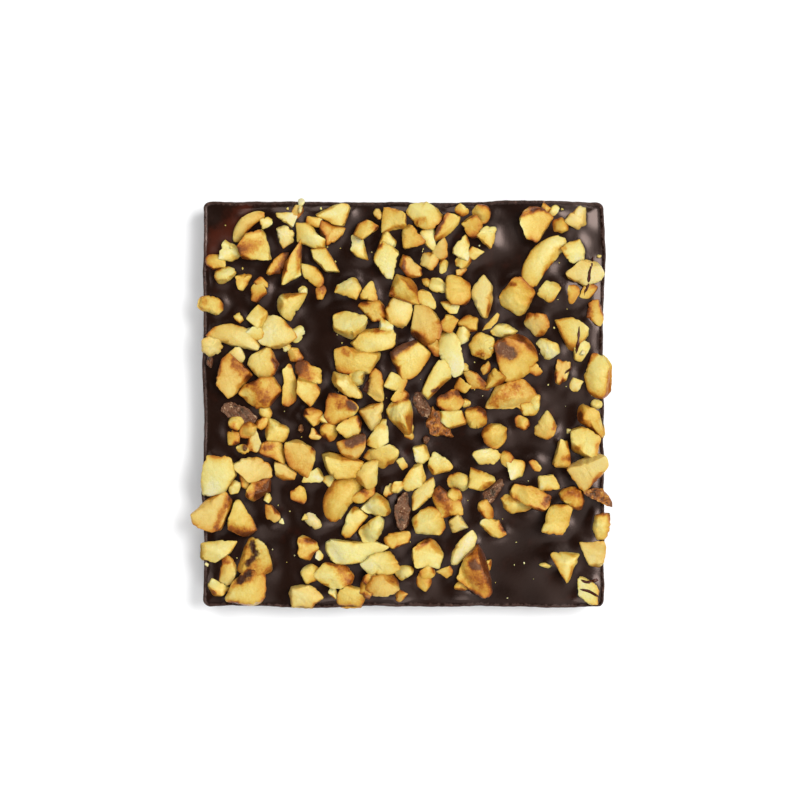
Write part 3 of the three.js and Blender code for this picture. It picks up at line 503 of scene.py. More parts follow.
        (-41, -1.5), (-40.5, 0), (-39, 0.5), (-35.5, -0.5), (-33, -3), (-33.5, -4), (-35.5, -4.5),
        (-39.5, -3),
    ],
    (4, 0): [(2, 0.5), (2.5, 2), (4, 3), (5.5, 0.5), (6.5, -1.5), (6, -3.5), (5, -3.5), (3.5, -2.5)],
    (7.5, -4): [(5.5, -3.5), (6.5, -1), (7.5, -1.5), (11, -7), (6, -6.5), (5, -5)],
    (20, -19.5): [
        (17.5, -20), (21, -17), (22, -17), (22.5, -18), (20.5, -21.5), (19.5, -22.5), (18, -21.5),
    ],
    (0, -23.5): [
        (-2, -24), (-1, -21), (0, -20), (1, -20.5), (1.5, -24.5), (0.5, -27.5), (-0.5, -28), (-1.5, -27),
    ],
    (43.5, -21): [
        (40, -19.5), (43.5, -19), (44.5, -19), (46.5, -21.5), (46.5, -23), (45, -22.5), (41, -20.5),
    ],
}

# The smaller pieces are scattered between those, largest first, off the patches that are bare
SEED = 20261
GRADES = [
    {"count": 40, "length": (4.2, 5)},
    {"count": 40, "length": (3.2, 4.2)},
    {"count": 24, "length": (2.2, 3.2)},
]
SLIMNESS = (0.65, 0.98)  # breadth over length
SCATTER_CUTS = ("chunk", "chunk", "block", "wedge", "dome")
MARGIN = 0.4  # scattered pieces stop this far inside the rim
CROWDING = 0.78  # nearest that two pieces come, as a share of touching
CLEARANCE = 0.25  # how far a piece keeps out of a bare patch, as a share of its length
MOST_TRIES = 6000  # for one grade

# Bare patches, each as x, y, half width and half depth
BARE = [
    (-41.5, 40.5, 3.5, 4.5), (-30, 44.5, 7, 1.5), (-40, 25.5, 4.5, 2.5), (-19.5, 11.5, 3.5, 9.5),
    (-10.5, 31, 3.5, 2.5), (-43, -2, 2, 9.5), (24.5, 36, 3.5, 8.5), (43.5, 38.5, 2, 6), (37.5, 21.5, 4.5, 2),
    (34.5, 0, 4, 4.5), (11.5, -8, 5.5, 2), (28.5, -9.5, 5.5, 2), (-34.5, -22, 2, 2), (-27.5, -36.5, 4.5, 9.5),
    (-10, -38, 2, 2), (26, -35, 6.5, 10.5), (39, -29, 2.5, 4), (6.5, -43.5, 5, 2), (30.5, -42, 8.5, 3.5),
]

# The multiplier and modulus of the draws that lay the pieces out
MULTIPLIER = 48271
MODULUS = 2147483647

# What a knife and a roast leave on a piece: more cuts across its outline, how many of its sides keep the
# kernel's round outside, how far its sides are pushed out or in and turned in degrees, how crisp its corners
# are, how much its top swells as a share of its height, and how often one more face slopes its top
CHOP = {
    "slice": dict(cuts=0, outsides=0, push=(0.97, 1.03), turn=0, crisp=(8, 10), swell=(0.15, 0.3), slope=0),
    "chunk": dict(cuts=2, outsides=2, push=(0.84, 1.2), turn=8, crisp=(11, 24), swell=(0, 0.3), slope=0.6),
    "block": dict(cuts=2, outsides=1, push=(0.84, 1.16), turn=12, crisp=(12, 26), swell=(0, 0.25), slope=0.6),
    "wedge": dict(cuts=1, outsides=1, push=(0.88, 1.12), turn=8, crisp=(12, 26), swell=(0, 0.2), slope=0.6),
    "dome": dict(cuts=2, outsides=5, push=(0.94, 1.06), turn=6, crisp=(9, 18), swell=(0.25, 0.5), slope=0.5),
    "flake": dict(cuts=1, outsides=0, push=(0.8, 1.2), turn=8, crisp=(10, 16), swell=(-0.2, 0.3), slope=1),
}
# A piece that has its own outline keeps to it
AS_OUTLINED = dict(cuts=0, push=(1, 1), turn=0, crisp=(24, 44))
LOOK_SEED = 417
# The meshes that the pieces of each cut are joined in, other than the chunks
KINDS = {
    "slice": "bent_slices",
    "block": "blocks",
    "wedge": "wedges",
    "dome": "rounded_pieces",
    "flake": "skin_flakes",
}
CUT_DEPTH = (0.74, 0.97)  # how far out a cut lies, as a share of the piece's reach that way
CUT_RISE = (-14, 8)  # degrees that a cut side leans in towards the top
OUTSIDE_RISE = (0, 18)  # the same for a side that is the kernel's outside
OUTSIDE_BEND = 1 / 7  # the kernel's outside bends over a radius of about 7 mm
SIDE_BENDS = (-0.035, 0.05)  # cut sides are dished or crowned this much
BOW_PLACE = 1 / 3  # where a bowed side keeps its distance, as a share of the breadth
LEAST_REACH = 0.45  # a side that leans in keeps this share of its distance
SLOPE_FALL = (12, 35)  # degrees that a further top face falls
SLOPE_PLACE = (0.1, 0.9)  # how far off the middle it begins, as a share of half the breadth
SLOPE_BLEND = 0.1  # how softly the top faces meet
MEAN_SWELL = 0.35  # where a swollen top has the level of a flat one
GROWTH = 1.07  # makes up for what the notches take off
FULL_DETAIL = 5  # breadth from which notches and lumps have their full size
# The most scoops, then the most notches, with their widths and their depth as a share of those
BREAKS = ((1, (2, 4.5), 0.14), (5, (0.5, 1.2), 0.3))
BREAK_SHARES = (0.4, 1)  # how much of that depth one has
JAG_SPACING = 0.9  # between the small corners of a broken side
JAG_DEPTH = 0.18  # how far in they cut
LUMPS = ((5, 0.08), (1.6, 0.05), (0.7, 0.03))  # lengths and heights of the unevenness
FLAKE_LUMPS = ((3, 0.25), (1.5, 0.22), (0.8, 0.07))  # the same for a flake of skin
LEAST_LEVER = 0.1  # nearer the middle of a piece than this, lumps fade
RIPPLE_WAVES = 7  # waves that add up to an uneven surface
RIPPLE_SPREAD = (0.7, 1.4)  # their lengths, as shares of the length asked for
BEVEL = 0.14  # how far round a piece's edge runs where it is crisp
CHIP = 0.9  # how much further where it is chipped
CHIP_SPACING = 1.7  # between its chips
CHIP_RARITY = 4  # the higher, the fewer of them are deep
BEVEL_ANGLES = (30, 60)  # its rings, in degrees round the edge

# Points round a piece and rings in to the middle of its top, by its length
LARGE = 8
MIDDLING = 5
RINGS = ((LARGE, (96, 12)), (MIDDLING, (80, 9)), (0, (56, 6)))
FLANK_RINGS = (0, 0.35, 0.55, 0.75, 0.9)  # shares of the height, up to the edge
WAIST = 0.5  # level of the plain outline, as a share of the height
LEAST_EDGE = 0.64  # lowest that a top falls, as a share of the height
EDGE_PASSES = 5  # to find where flank and top meet
OUTLINE_STEPS = 720  # to measure an outline
UNDERCUT = 0.45  # how steeply a piece that hangs over the rim rises beneath

# How the roast is spread over a piece
SCATTER_ROAST = (0.0, 0.6)  # of the scattered pieces
PLAIN_ROAST = 0.45  # above this a piece has a brown patch
PATCH_ROAST = 0.7  # how fast such a patch darkens
PATCH_SHARE = 0.5  # how much of the piece it takes
PATCH_BORDER = (2.5, 0.3)  # length and depth of its ragged border
TONE_SOFTNESS = 10  # how crisp the tones of neighbouring sides meet
SIDE_ROAST = 0.17  # the side that lay nearer the heat
FLANK_ROAST_AND_SHADE = 0.08  # all flanks: some roast, and painted shade that darkens the steep sides
OUTSIDE_ROAST = 0.09  # flanks that are the kernel's outside
SIDE_TONES = 0.08  # most that one side differs from the next
OUTSIDE_EDGE = (0.06, 0.34)  # along the edge of the kernel's outside
CUT_EDGE_BROWN_AND_HIGHLIGHT = (-0.22, 0.32)  # along the edge of a cut: from paler, a painted highlight where the broken edge catches the light, to browner
EDGE_WIDTH = 0.3
EDGE_STRETCHES = (3, 0.6)  # how long the browned stretches of an edge are, and their share of it
BORDER_SHADE_ROAST = (0.02, 0.36)  # painted shade: a wider band round the top, darker than its paler heart
BORDER_SHADE_WIDTH = 1.1
HEART_HIGHLIGHT_ROAST = -0.12  # painted highlight: the middle of the top is paler

# Patches on the nuts, each as the x and y of its two ends and half its width.
# First where the roast browned them
BROWNED = [
    (-35.3, 34.9, -32.3, 35.8, 1.6), (-34.7, 38.6, -32.3, 38.8, 0.6), (-23.3, 35.4, -23.5, 29.8, 0.7),
    (-26.3, 33.7, -28.4, 29.4, 1.0), (-26.5, 25.5, -25.3, 25.9, 0.8), (-17.8, 26.3, -16.5, 26.5, 1.4),
    (-45, 22.8, -44.5, 22.9, 0.8), (3.2, 41, 4.6, 41.4, 0.8), (-6.5, 39.9, -6, 39.5, 0.8),
    (-6.2, 36.5, -5.6, 35.7, 1.2), (-2.3, 38.2, -1.6, 36.8, 0.7), (9.7, 42.3, 7.3, 38.4, 0.5),
    (0.2, 33.2, -0.1, 30.4, 0.5), (-2.7, 25.9, -2.4, 24.6, 0.7), (-9, 22.9, -8.4, 22.7, 0.8),
    (-14.6, 23.5, -14, 22.7, 0.6), (-5.5, 18.8, -4.5, 18.9, 0.6), (-6, 16.4, -3.4, 16.4, 0.7),
    (26.5, 42.3, 31.3, 43.8, 0.5), (34.6, 34.8, 31.5, 29.2, 0.9), (35.6, 35.2, 36.1, 34.9, 0.5),
    (22.2, 29.6, 22.8, 29.5, 0.7), (24.2, 27, 25, 26.8, 0.5), (41.9, 21.6, 41.6, 19, 0.8),
    (27.8, 19.8, 29.4, 19.9, 0.8), (-37.7, 8.8, -34.9, 6, 1.3), (-33.8, 4.7, -31.5, 1.2, 1.5),
    (-29.1, 9.8, -28.6, 8.6, 0.6), (-28.2, 11.9, -27.7, 10.4, 0.5), (-23.5, 8.8, -21.3, 6.2, 1.5),
    (-25.8, 8.7, -25.4, 8.4, 0.5), (-38.2, -4.6, -37.9, -5.7, 0.7), (-35.6, -9.2, -34.8, -9.2, 1),
    (-25.7, -2, -25.1, -2.2, 0.7), (-31, -9.8, -29.6, -9.5, 0.8), (-20.3, -9.8, -20, -9.9, 0.5),
    (-13.4, 11.9, -12.6, 11.2, 0.6), (-2, 8.4, -1.4, 7.7, 0.7), (-14, -0.2, -12.4, -0.7, 1.2),
    (-10.2, -3.6, -9.4, -5, 0.5), (-4.9, -5, -4.3, -5.2, 0.7), (-3.1, -0.5, 0.8, 1.2, 0.4),
    (8.4, 1.8, 11.8, 2.5, 0.9), (17, 11.5, 19.2, 11, 0.8), (20.3, 0.3, 25, 3.6, 1.4),
    (41.2, 9, 43.2, 11.3, 0.6), (39.6, -2.4, 39.8, -3.4, 0.6), (16.8, -0.6, 18.2, -1.6, 1),
    (17.2, 5.4, 18, 4.6, 0.8), (33.8, -4, 33.6, -5.6, 0.4), (35.8, -12.2, 36.7, -12.2, 0.7),
    (-39.5, -20.7, -41.8, -27.4, 0.9), (-38.6, -28, -35.3, -28.9, 1.2), (-34.5, -20.6, -31.9, -18.9, 1.4),
    (-26.2, -18.6, -25.4, -19.2, 1.3), (-23.2, -30.4, -20, -31.1, 0.7), (-40.2, -35.2, -39.5, -35.5, 0.7),
    (-39.7, -42.5, -34.5, -37.1, 0.7), (-14.1, -37.1, -12.6, -39.3, 1.5), (-9, -19.6, -8.4, -20, 0.7),
    (2.7, -24.8, 2.7, -27.4, 0.5), (7.9, -20.4, 9.9, -23.2, 1.3), (3.2, -32.3, 6, -30, 0.6),
    (-1.4, -39.2, -0.5, -40.2, 0.9), (8.5, -31, 9, -31.3, 0.9), (7.2, -39.4, 7.8, -39.6, 0.6),
    (31.4, -22.4, 32.4, -21, 0.8), (22.6, -21.1, 25.2, -21.1, 0.9), (35.8, -20.7, 38.9, -19.8, 1.2),
    (21.8, -27.4, 22.2, -28.2, 0.6), (16, -34.3, 14.9, -38.3, 1.7),
    (15.4, -38.6, 18.6, -39.4, 1.4), (-34.2, -31.2, -33.4, -35.4, 1.8), (-36.8, -40, -34.6, -38.4, 1.5),
]
# Where they keep some of their skin
SKIN_LEFT = [
    (-2.4, 11.6, 2.1, 14.4, 1.2), (22, 12.4, 24, 11.4, 1.7), (-12.2, -8.8, -9.1, -7.5, 1.1),
    (-12, 0.2, -10.9, -0.8, 0.8), (4.2, 6.1, 5.6, 8.1, 0.6), (6.4, 3, 7.6, 3.4, 0.35),
    (15.3, -35.6, 16.4, -36.4, 0.8),
]
# Where chocolate is smeared on them
SMEARS = [
    (-8.3, 6.2, -8.2, 3, 1.2), (-34.1, -31.3, -33, -33.8, 1), (-33, -33.8, -34.8, -35.6, 1),
    (-36.6, -39.2, -34.6, -38, 1.1),
]

# Patches where the poured chocolate looks thin and red, each as x, y and radius
WARM_PATCHES = [(-38.6, 39.7, 3), (-42, 37, 3), (-35, 44.3, 2.2), (-43, 33, 2.5)]

# Threads of chocolate that fell across nuts, each as the x and y of its two ends
THREADS = [
    (42.5, 33, 41, 23.5), (39.5, 17.5, 38.5, 11.5), (37.5, 9, 36.5, 6), (39.5, -39, 44, -40.2),
    (39.5, -41.5, 44, -43.2),
]
THREAD_RADIUS = 0.36
THREAD_SUNK = 0.5  # how deep its middle lies, as a share of its radius
THREAD_STEPS = 40
THREAD_SIDES = 8
THREAD_WANDER = (5, 0.45)  # length and depth of its bends
THREAD_UNEVEN = (2, 0.25)  # length of its thicker stretches and how much thicker they are
THREAD_SPAN = 5  # steps over which it spans gaps
THREAD_TIP = 0.15  # thickness of its tips, as a share
THREAD_TAPER = 6  # how fast it thickens from its tips, in full thicknesses over its length
THREAD_WARMTH = 1.6  # how thin and red it looks
CAST_FROM = 1000  # height to look down from, to find what lies under a thread or crumb

# Crumbs that fell on the bar, each as x, y and size, and fine ones that are scattered
PALE_CRUMBS = [
    (-23.1, 45, 1.8), (-23.2, 43.4, 1.5), (-26.1, 43.9, 1), (35.7, 43.8, 0.9), (43.8, 33.3, 0.9),
    (40.2, 11.5, 1.6), (37.1, -6, 1.2), (43.6, 0, 2.6), (-44.1, -36.1, 0.9), (-27.4, -26.2, 1.4),
    (-22.1, -25.4, 2), (31.8, -36.1, 1.9), (-38.6, 35.2, 0.7), (18.2, 16.9, 0.7), (19.6, 12.5, 0.8),
    (-18.5, 44, 0.6),
]
BROWN_CRUMBS = [(-43.6, 9.2, 2.6), (-23, -5.5, 1.8), (5.3, -7.7, 2), (-35.6, -9.8, 1.4), (17.9, 11, 0.8)]
PALE_ROAST = (-0.1, 0.25)
BROWN_ROAST = (0.4, 0.9)
FINE_CRUMBS = 50
FINE_CRUMB_SIZE = (0.18, 0.42)
CRUMB_LEVEL = 0.6  # fine crumbs lie on the chocolate, no higher than this above it
CRUMB_FIELD = 0.48  # furthest that they lie from the middle, as a share of the bar's sides
CRUMB_STEPS = 5  # squares along a side of the cube that a crumb is made from
SAME_POINT = 6  # points of that cube's sides are one where they agree to this many decimals
CRUMB_SPREAD = (0.55, 1.1)  # its length, breadth and height, as shares of its size
CRUMB_FACES = 9
CRUMB_FACE_PLACES = (0.6, 1)  # how far out its faces lie
CRUMB_BLUNTNESS = 0.7  # how little its corners stick out
CRUMB_LIFT = 0.2  # how far its middle lies above what it fell on, as a share of its size

# The poured top
TOP_SPACING = 0.42
RIM_SPACING = 0.1  # finer near the rim
RIM_ZONE = 1.6  # how far in the finer part reaches
WAVE_HEIGHTS = ((15, 0.17), (6, 0.045))  # lengths and heights of the poured top's waves
MENISCUS_RISE = 0.42  # chocolate climbs this much up a nut
MENISCUS_WIDTH = 1.3
MENISCUS_UNEVEN = (6, 0.4)  # length and depth of the unevenness of that climb
OVERHANG_DRYNESS = 20  # what hangs over the rim stays out of the chocolate
SMOOTHINGS = 10  # passes that even out where climbs meet
SHORE_BAND = 0.3  # nut points this near the top's level mark where nut and chocolate meet
RIM_CREST = 0.3  # the lip that the pour left is narrower than the cast one
LIP_FALL = 0.55  # width of its slope
LIP_LEFT = 0.12  # share of the lip's height that the pour left
RIM_ROUNDING = 0.14
WALL_RINGS = 12
FOOT_RINGS = 5
WALL_SCUFF = 0.5  # how scuffed the wall is under the rim
WALL_SCUFF_REACH = 0.2  # how far down that fades, as a share of the wall
SCUFF_WIDTH = 0.9  # how far in the rim is scuffed
WOBBLE_FADE = 4  # how far in and down from the rim the outline's unevenness reaches
EDGE_WOBBLES = ((22, 0.2), (8, 0.09), (2.5, 0.05))  # lengths and depths of the outline's unevenness

# Colours as they look under the lamps, red, green and blue up to 255
LAMP_LEVEL = 1.6  # the lamps make a level surface this much brighter than its own colour
BLANCHED = (255, 250, 222)
CREAM = (250, 237, 156)
STRAW = (244, 215, 114)
GOLDEN = (232, 184, 76)
TAN = (216, 146, 50)
ROASTED = (174, 95, 30)
SCORCHED = (104, 50, 20)
GREENISH = (238, 226, 138)
BEIGE = (234, 199, 130)
SKIN_BROWN = (122, 76, 52)
SKIN_DARK = (44, 22, 14)
# pale specks of the skin, and painted glints on its highest lumps
SKIN_SPECK_AND_GLINT = (232, 190, 146)
# pale caramel sugar; in a browned patch its grains are painted glints
SUGAR_AND_GLINT = (240, 196, 128)
CHOCOLATE_DEEP = (18, 4, 0)
CHOCOLATE_BROWN = (35, 16, 7)
CHOCOLATE_WARM = (72, 28, 14)
CHOCOLATE_SCUFFED = (54, 27, 15)
CHOCOLATE_CHIPPED = (168, 122, 98)
FLOOR_WHITE = (255, 255, 255)
FLOOR_SHADE = (252, 252, 253)
FLOOR_LEVEL = 1.1  # the floor's own lamp level
ROAST_COLOURS = [
    (0, BLANCHED), (0.2, CREAM), (0.38, STRAW), (0.56, GOLDEN), (0.7, TAN), (0.84, ROASTED), (1, SCORCHED),
]
# The palest stop paints pale specks and glints on the highest parts of the skin
SKIN_COLOURS = [(0.24, SKIN_DARK), (0.5, SKIN_BROWN), (0.66, SKIN_BROWN), (0.77, SKIN_SPECK_AND_GLINT)]
AMBER_COLOURS = [(0.2, SCORCHED), (0.45, ROASTED), (0.65, TAN), (0.85, SUGAR_AND_GLINT)]

# Mottling of the finishes, each as the size of its clouds, their finer detail and a shift that sets it apart
NOISE_SPAN = (0.25, 0.75)  # most of what Blender's noise gives
CHOCOLATE_CLOUD = (9, 3, 0)
CHOCOLATE_PATCH = (3, 3, 8)
CHOCOLATE_GRAIN = (0.7, 3, 4)
SKIN_CLOUD = (1.4, 4, 11)
SKIN_GRAIN = (0.4, 3, 3)
NUT_CLOUD = (3, 3, 0)
NUT_BLOTCH = (1.1, 3, 7)
NUT_GRAIN = (0.35, 3, 2)
FLOOR_CLOUD = (60, 2, 0)
WHOLE = (-1, 1)  # the span of a mottle

# Gloss is how strongly a finish mirrors and the tint of that. Relief is the depth and strength of its bumps.
# A span is where a change starts and where it is complete
CHOCOLATE_GLOSS = (0.4, (1, 0.76, 0.68, 1))
CHOCOLATE_RELIEF = (0.004, 0.5)
CHOCOLATE_ROUGHNESS = 0.22
CHOCOLATE_ROUGH_GRAIN = 0.015  # what the mottling adds to its roughness
CHOCOLATE_ROUGH_CLOUD = 0.03
CHOCOLATE_ROUGH_SCUFF = 0.35
WARM_UNEVEN = 0.5
WARM_SPAN = (0.1, 1.3)
SCUFF_UNEVEN = 0.6
SCUFF_SPAN = (0.1, 1.1)
CHIPPED_GRAINS = (0.55, 0.9)  # the grains that are chipped where the rim is most scuffed
CHIPPED_SPAN = (0.7, 1.2)

SKIN_GLOSS = (0.5, (1, 0.86, 0.6, 1))
SKIN_RELIEF = (0.2, 0.8)
SKIN_ROUGHNESS = 0.28
SKIN_ROUGH_TONE = -0.06  # its higher parts are smoother
SKIN_GRAIN_SHARE = 0.6
SKIN_TONES = (-1.4, 1.5)
AMBER_UNEVEN = -0.12
AMBER_SPAN = (0.7, 0.4)  # the less a flake is roasted, the more light comes through it

NUT_GLOSS = (0.28, (1, 0.86, 0.6, 1))
NUT_RELIEF = (0.05, 0.7)
NUT_ROUGHNESS = 0.38
NUT_ROUGH_GRAIN = 0.08
NUT_MOTTLE = (0.06, 0.06, 0.08)  # what cloud, blotch and grain add to the roast
NUT_ROASTS = (-0.25, 1)
NUT_GLOW = 0.2  # light that goes in and comes out again
NUT_GLOW_REACH = (1, 0.45, 0.12)  # how far its red, green and blue go
NUT_GLOW_DEPTH = 1.5
PATCH_BLOTCH = 0.3  # how uneven the border of a patch is
PATCH_GRAIN = 0.12
BROWNED_SPAN = (-0.6, 0.9)
BROWNED_ROAST = 0.38
BROWNED_UNEVEN = 0.07
SUGAR_GLINT_GRAINS = (0.75, 1)  # the grains of a browned patch that are painted as pale glints of sugar
SUGAR_GLINT_SHARE = 0.7
GREEN_TINTS = (0.7, 1)  # the pieces that are greenish, where they are pale
GREEN_SHARE = 0.4
GREEN_ROASTS = (0.45, 0.05)
BEIGE_TINTS = (0.5, 0)  # the pieces that are beige, where they aren't brown
BEIGE_SHARE = 0.35
BEIGE_ROASTS = (0.65, 0.35)
HALO_SPAN = (-0.9, 0.4)  # the browned border of the skin that is left
HALO_ROAST = 0.34
SKINNED_SPAN = (-0.15, 0.5)
SKIN_EVENNESS = 0.55  # how much plainer that skin is than a flake
SMEAR_UNEVEN = 0.45
SMEAR_SPAN = (-0.1, 0.65)
WET_UNEVEN = -0.2
WET_AND_SHADE_LEVELS = (0.4, 0.15)  # nuts are wet with chocolate below these levels; that dark band at their feet is also painted contact shade
FLOOR_ROUGHNESS = 0.6

# The camera looks straight down on a frame of 800 by 794 pixels
CAMERA_X = -0.79
CAMERA_Y = 1.62
CAMERA_HEIGHT = 700
CAMERA_LENS = 138.5
CAMERA_SENSOR = 36
FLOOR_SIDE = 6000

# Lamps, each as the degrees round from +X, degrees up, distance, side and watts
LAMPS = {
    "overhead": (312, 74, 2000, 900, 2.7),
    "key": (20, 58, 2000, 1000, 42),
    "back fill": (110, 50, 2000, 1100, 13),
    "left fill": (195, 48, 2000, 1100, 10),
    "front fill": (285, 50, 2000, 1100, 15),
}
WORLD_LIGHT = 0.03


def draws_from(seed):
    """Draws between 0 and 1 that come out the same every time."""
    state = seed
    while True:
        state = state * MULTIPLIER % MODULUS
        yield state / MODULUS


def between(limits, share):
    low, high = limits
    return low + (high - low) * share


def eased(value):
    """Runs from 0 to 1 with a soft start and end."""
    value = np.clip(value, 0, 1)
    return value * value * (3 - 2 * value)


def unit(vectors):
    """The vectors brought to a length of 1."""
    return vectors / np.linalg.norm(vectors, axis=1, keepdims=True)


def ways_along(angles):
    """The ways in plan at these angles."""
    return np.column_stack([np.cos(angles), np.sin(angles)])


def any_way(chance):
    return ways_along(chance.uniform(0, math.tau, 1))[0]


def ripple(points, chance, length):
    """A smooth random rise and fall over the points, about -1 to 1, with bumps of about that length."""
    ways = unit(chance.normal(size=(RIPPLE_WAVES, 3)))
    spacings = length * chance.uniform(*RIPPLE_SPREAD, RIPPLE_WAVES)
    phases = chance.uniform(0, math.tau, RIPPLE_WAVES)
    waves = np.sin(points @ (ways / spacings[:, None] * math.tau).T + phases)
    return waves.sum(axis=1) / math.sqrt(RIPPLE_WAVES)


# Laying the pieces out


def discs_of(piece):
    """A row of discs along the piece's length that stands in for its outline, as x, y and radius."""
    count = max(1, math.floor(piece.length / piece.breadth + 0.5))
    angle = math.radians(piece.turn)
    along = np.linspace(-0.5, 0.5, count) * (piece.length - piece.breadth) if count > 1 else np.zeros(1)
    return np.column_stack([
        piece.x + along * math.cos(angle),
        piece.y + along * math.sin(angle),
        np.full(count, piece.breadth / 2),
    ])


def new_piece(cut, x, y, length, breadth, turn, roast=None):
    """A nut piece in plan. The roast of a scattered one is drawn later."""
    piece = SimpleNamespace(cut=cut, x=x, y=y, length=length, breadth=breadth, turn=turn, roast=roast)
    piece.discs = discs_of(piece)
    return piece


def overlaps_of(piece, others):
    """How far the piece overlaps each other one in plan: 0 where they touch, 1 where discs share a middle."""
    discs = np.vstack([other.discs for other in others])
    starts = np.cumsum([0] + [len(other.discs) for other in others[:-1]])
    gaps = np.hypot(piece.discs[:, None, 0] - discs[None, :, 0], piece.discs[:, None, 1] - discs[None, :, 1])
    overlap = 1 - gaps / (piece.discs[:, None, 2] + discs[None, :, 2])
    return np.maximum.reduceat(overlap.max(axis=0), starts)


def is_bare(x, y, length):
    for middle_x, middle_y, half_width, half_depth in BARE:
        across = (x - middle_x) / (half_width + CLEARANCE * length)
        along = (y - middle_y) / (half_depth + CLEARANCE * length)
        if across * across + along * along < 1:
            return True
    return False


def lay_out(draw):
    """Every piece in the order it is laid: the placed ones, then the scattered grades."""
    pieces = [new_piece(cut, *row) for cut, rows in PLACED.items() for row in rows]
    for grade in GRADES:
        scatter(pieces, grade, draw)
    return pieces


def scatter(pieces, grade, draw):
    laid = 0
    for _ in range(MOST_TRIES):
        if laid == grade["count"]:
            return
        length = between(grade["length"], next(draw))
        breadth = length * between(SLIMNESS, next(draw))
        x = (next(draw) - 0.5) * (WIDTH - 2 * MARGIN - length)
        y = (next(draw) - 0.5) * (DEPTH - 2 * MARGIN - length)
        turn = 360 * next(draw)
        cut = SCATTER_CUTS[math.floor(len(SCATTER_CUTS) * next(draw))]
        if is_bare(x, y, length):
            continue
        piece = new_piece(cut, x, y, length, breadth, turn)
        if overlaps_of(piece, pieces).max() > 1 - CROWDING:
            continue
        pieces.append(piece)
        laid += 1


def settle(piece, earlier, draw):
    """Sets a piece's height and the level of its foot: in the chocolate, or up on the pieces it overlaps."""
    share = between(HEIGHT_SHARE, next(draw))
    piece.height = FLAKE_HEIGHT if piece.cut == "flake" else min(TALLEST, piece.breadth * share)
    seat = THICKNESS - piece.height * SUNK_SHARE
    piece.foot = seat
    if not earlier:
        return
    for other, overlap in zip(earlier, overlaps_of(piece, earlier)):
        if overlap > 0:
            climbed = other.foot + other.height * min(1 - BITE, overlap * CLIMB)
            piece.foot = max(piece.foot, min(climbed, seat + CLIMB_LIMIT))


# The plain form of a piece, as rings of points from foot to top


def outline_of(piece, draw):
    """The plan outline about the piece's own middle, with its length along X, brought to its full size."""
    cut = CUTS[piece.cut]
    points = []
    for i in range(cut["corners"]):
        angle = 360 * (i + cut["start"] + cut["uneven"] * (next(draw) - 0.5)) / cut["corners"]
        ends = (angle - cut["blunt"] / 2, angle + cut["blunt"] / 2) if cut["blunt"] else (angle,)
        for end in ends:
            points.append((math.cos(math.radians(end)), math.sin(math.radians(end))))
    points = np.array(points)
    low = points.min(axis=0)
    high = points.max(axis=0)
    return (points - (low + high) / 2) / (high - low) * (piece.length, piece.breadth)


def chopped_rings(piece, draw):
    tilt_u = TOP_TILT * (next(draw) - 0.5)
    tilt_v = TOP_TILT * (next(draw) - 0.5)
    shift_u = TOP_SHIFT * (next(draw) - 0.5) * piece.length
    shift_v = TOP_SHIFT * (next(draw) - 0.5) * piece.breadth
    u, v = outline_of(piece, draw).T
    fall = 2 * (tilt_u * u / piece.length + tilt_v * v / piece.breadth)
    return [
        np.column_stack([
            u * size + shift_u * (1 - size),
            v * size + shift_v * (1 - size),
            piece.height * level * (1 + fall),
        ])
        for size, level in CUTS[piece.cut]["rings"]
    ]


def slice_rings(piece):
    """A slice before it is bent: a straight length, broadest at its waist."""
    rings = []
    for size, level in ((SLICE_TOP, 0), (1, SLICE_WAIST), (SLICE_TOP, 1)):
        half = piece.length / 2
        side = size * piece.breadth / 2
        rings.append(np.array([
            (half, -side, level * piece.height), (half, side, level * piece.height),
            (-half, side, level * piece.height), (-half, -side, level * piece.height),
        ]))
    return rings


def bent(piece, points):
    """Bends a straight slice into its arc and narrows it towards its tips."""
    half = math.radians(SLICE_BEND / 2)
    radius = piece.length / 2 / math.sin(half)
    middle = radius * (1 + math.cos(half)) / 2
    along = points[:, 0] / (piece.length / 2)
    narrowing = (1 - SLICE_TIP) * np.minimum(along * along, 1)
    out = radius + points[:, 1] * (1 - narrowing)
    return np.column_stack([
        out * np.sin(half * along),
        out * np.cos(half * along) - middle,
        points[:, 2] * (1 - narrowing / 2),
    ])


# The finished form of a piece: crisp sides and notches round a top that slopes and swells


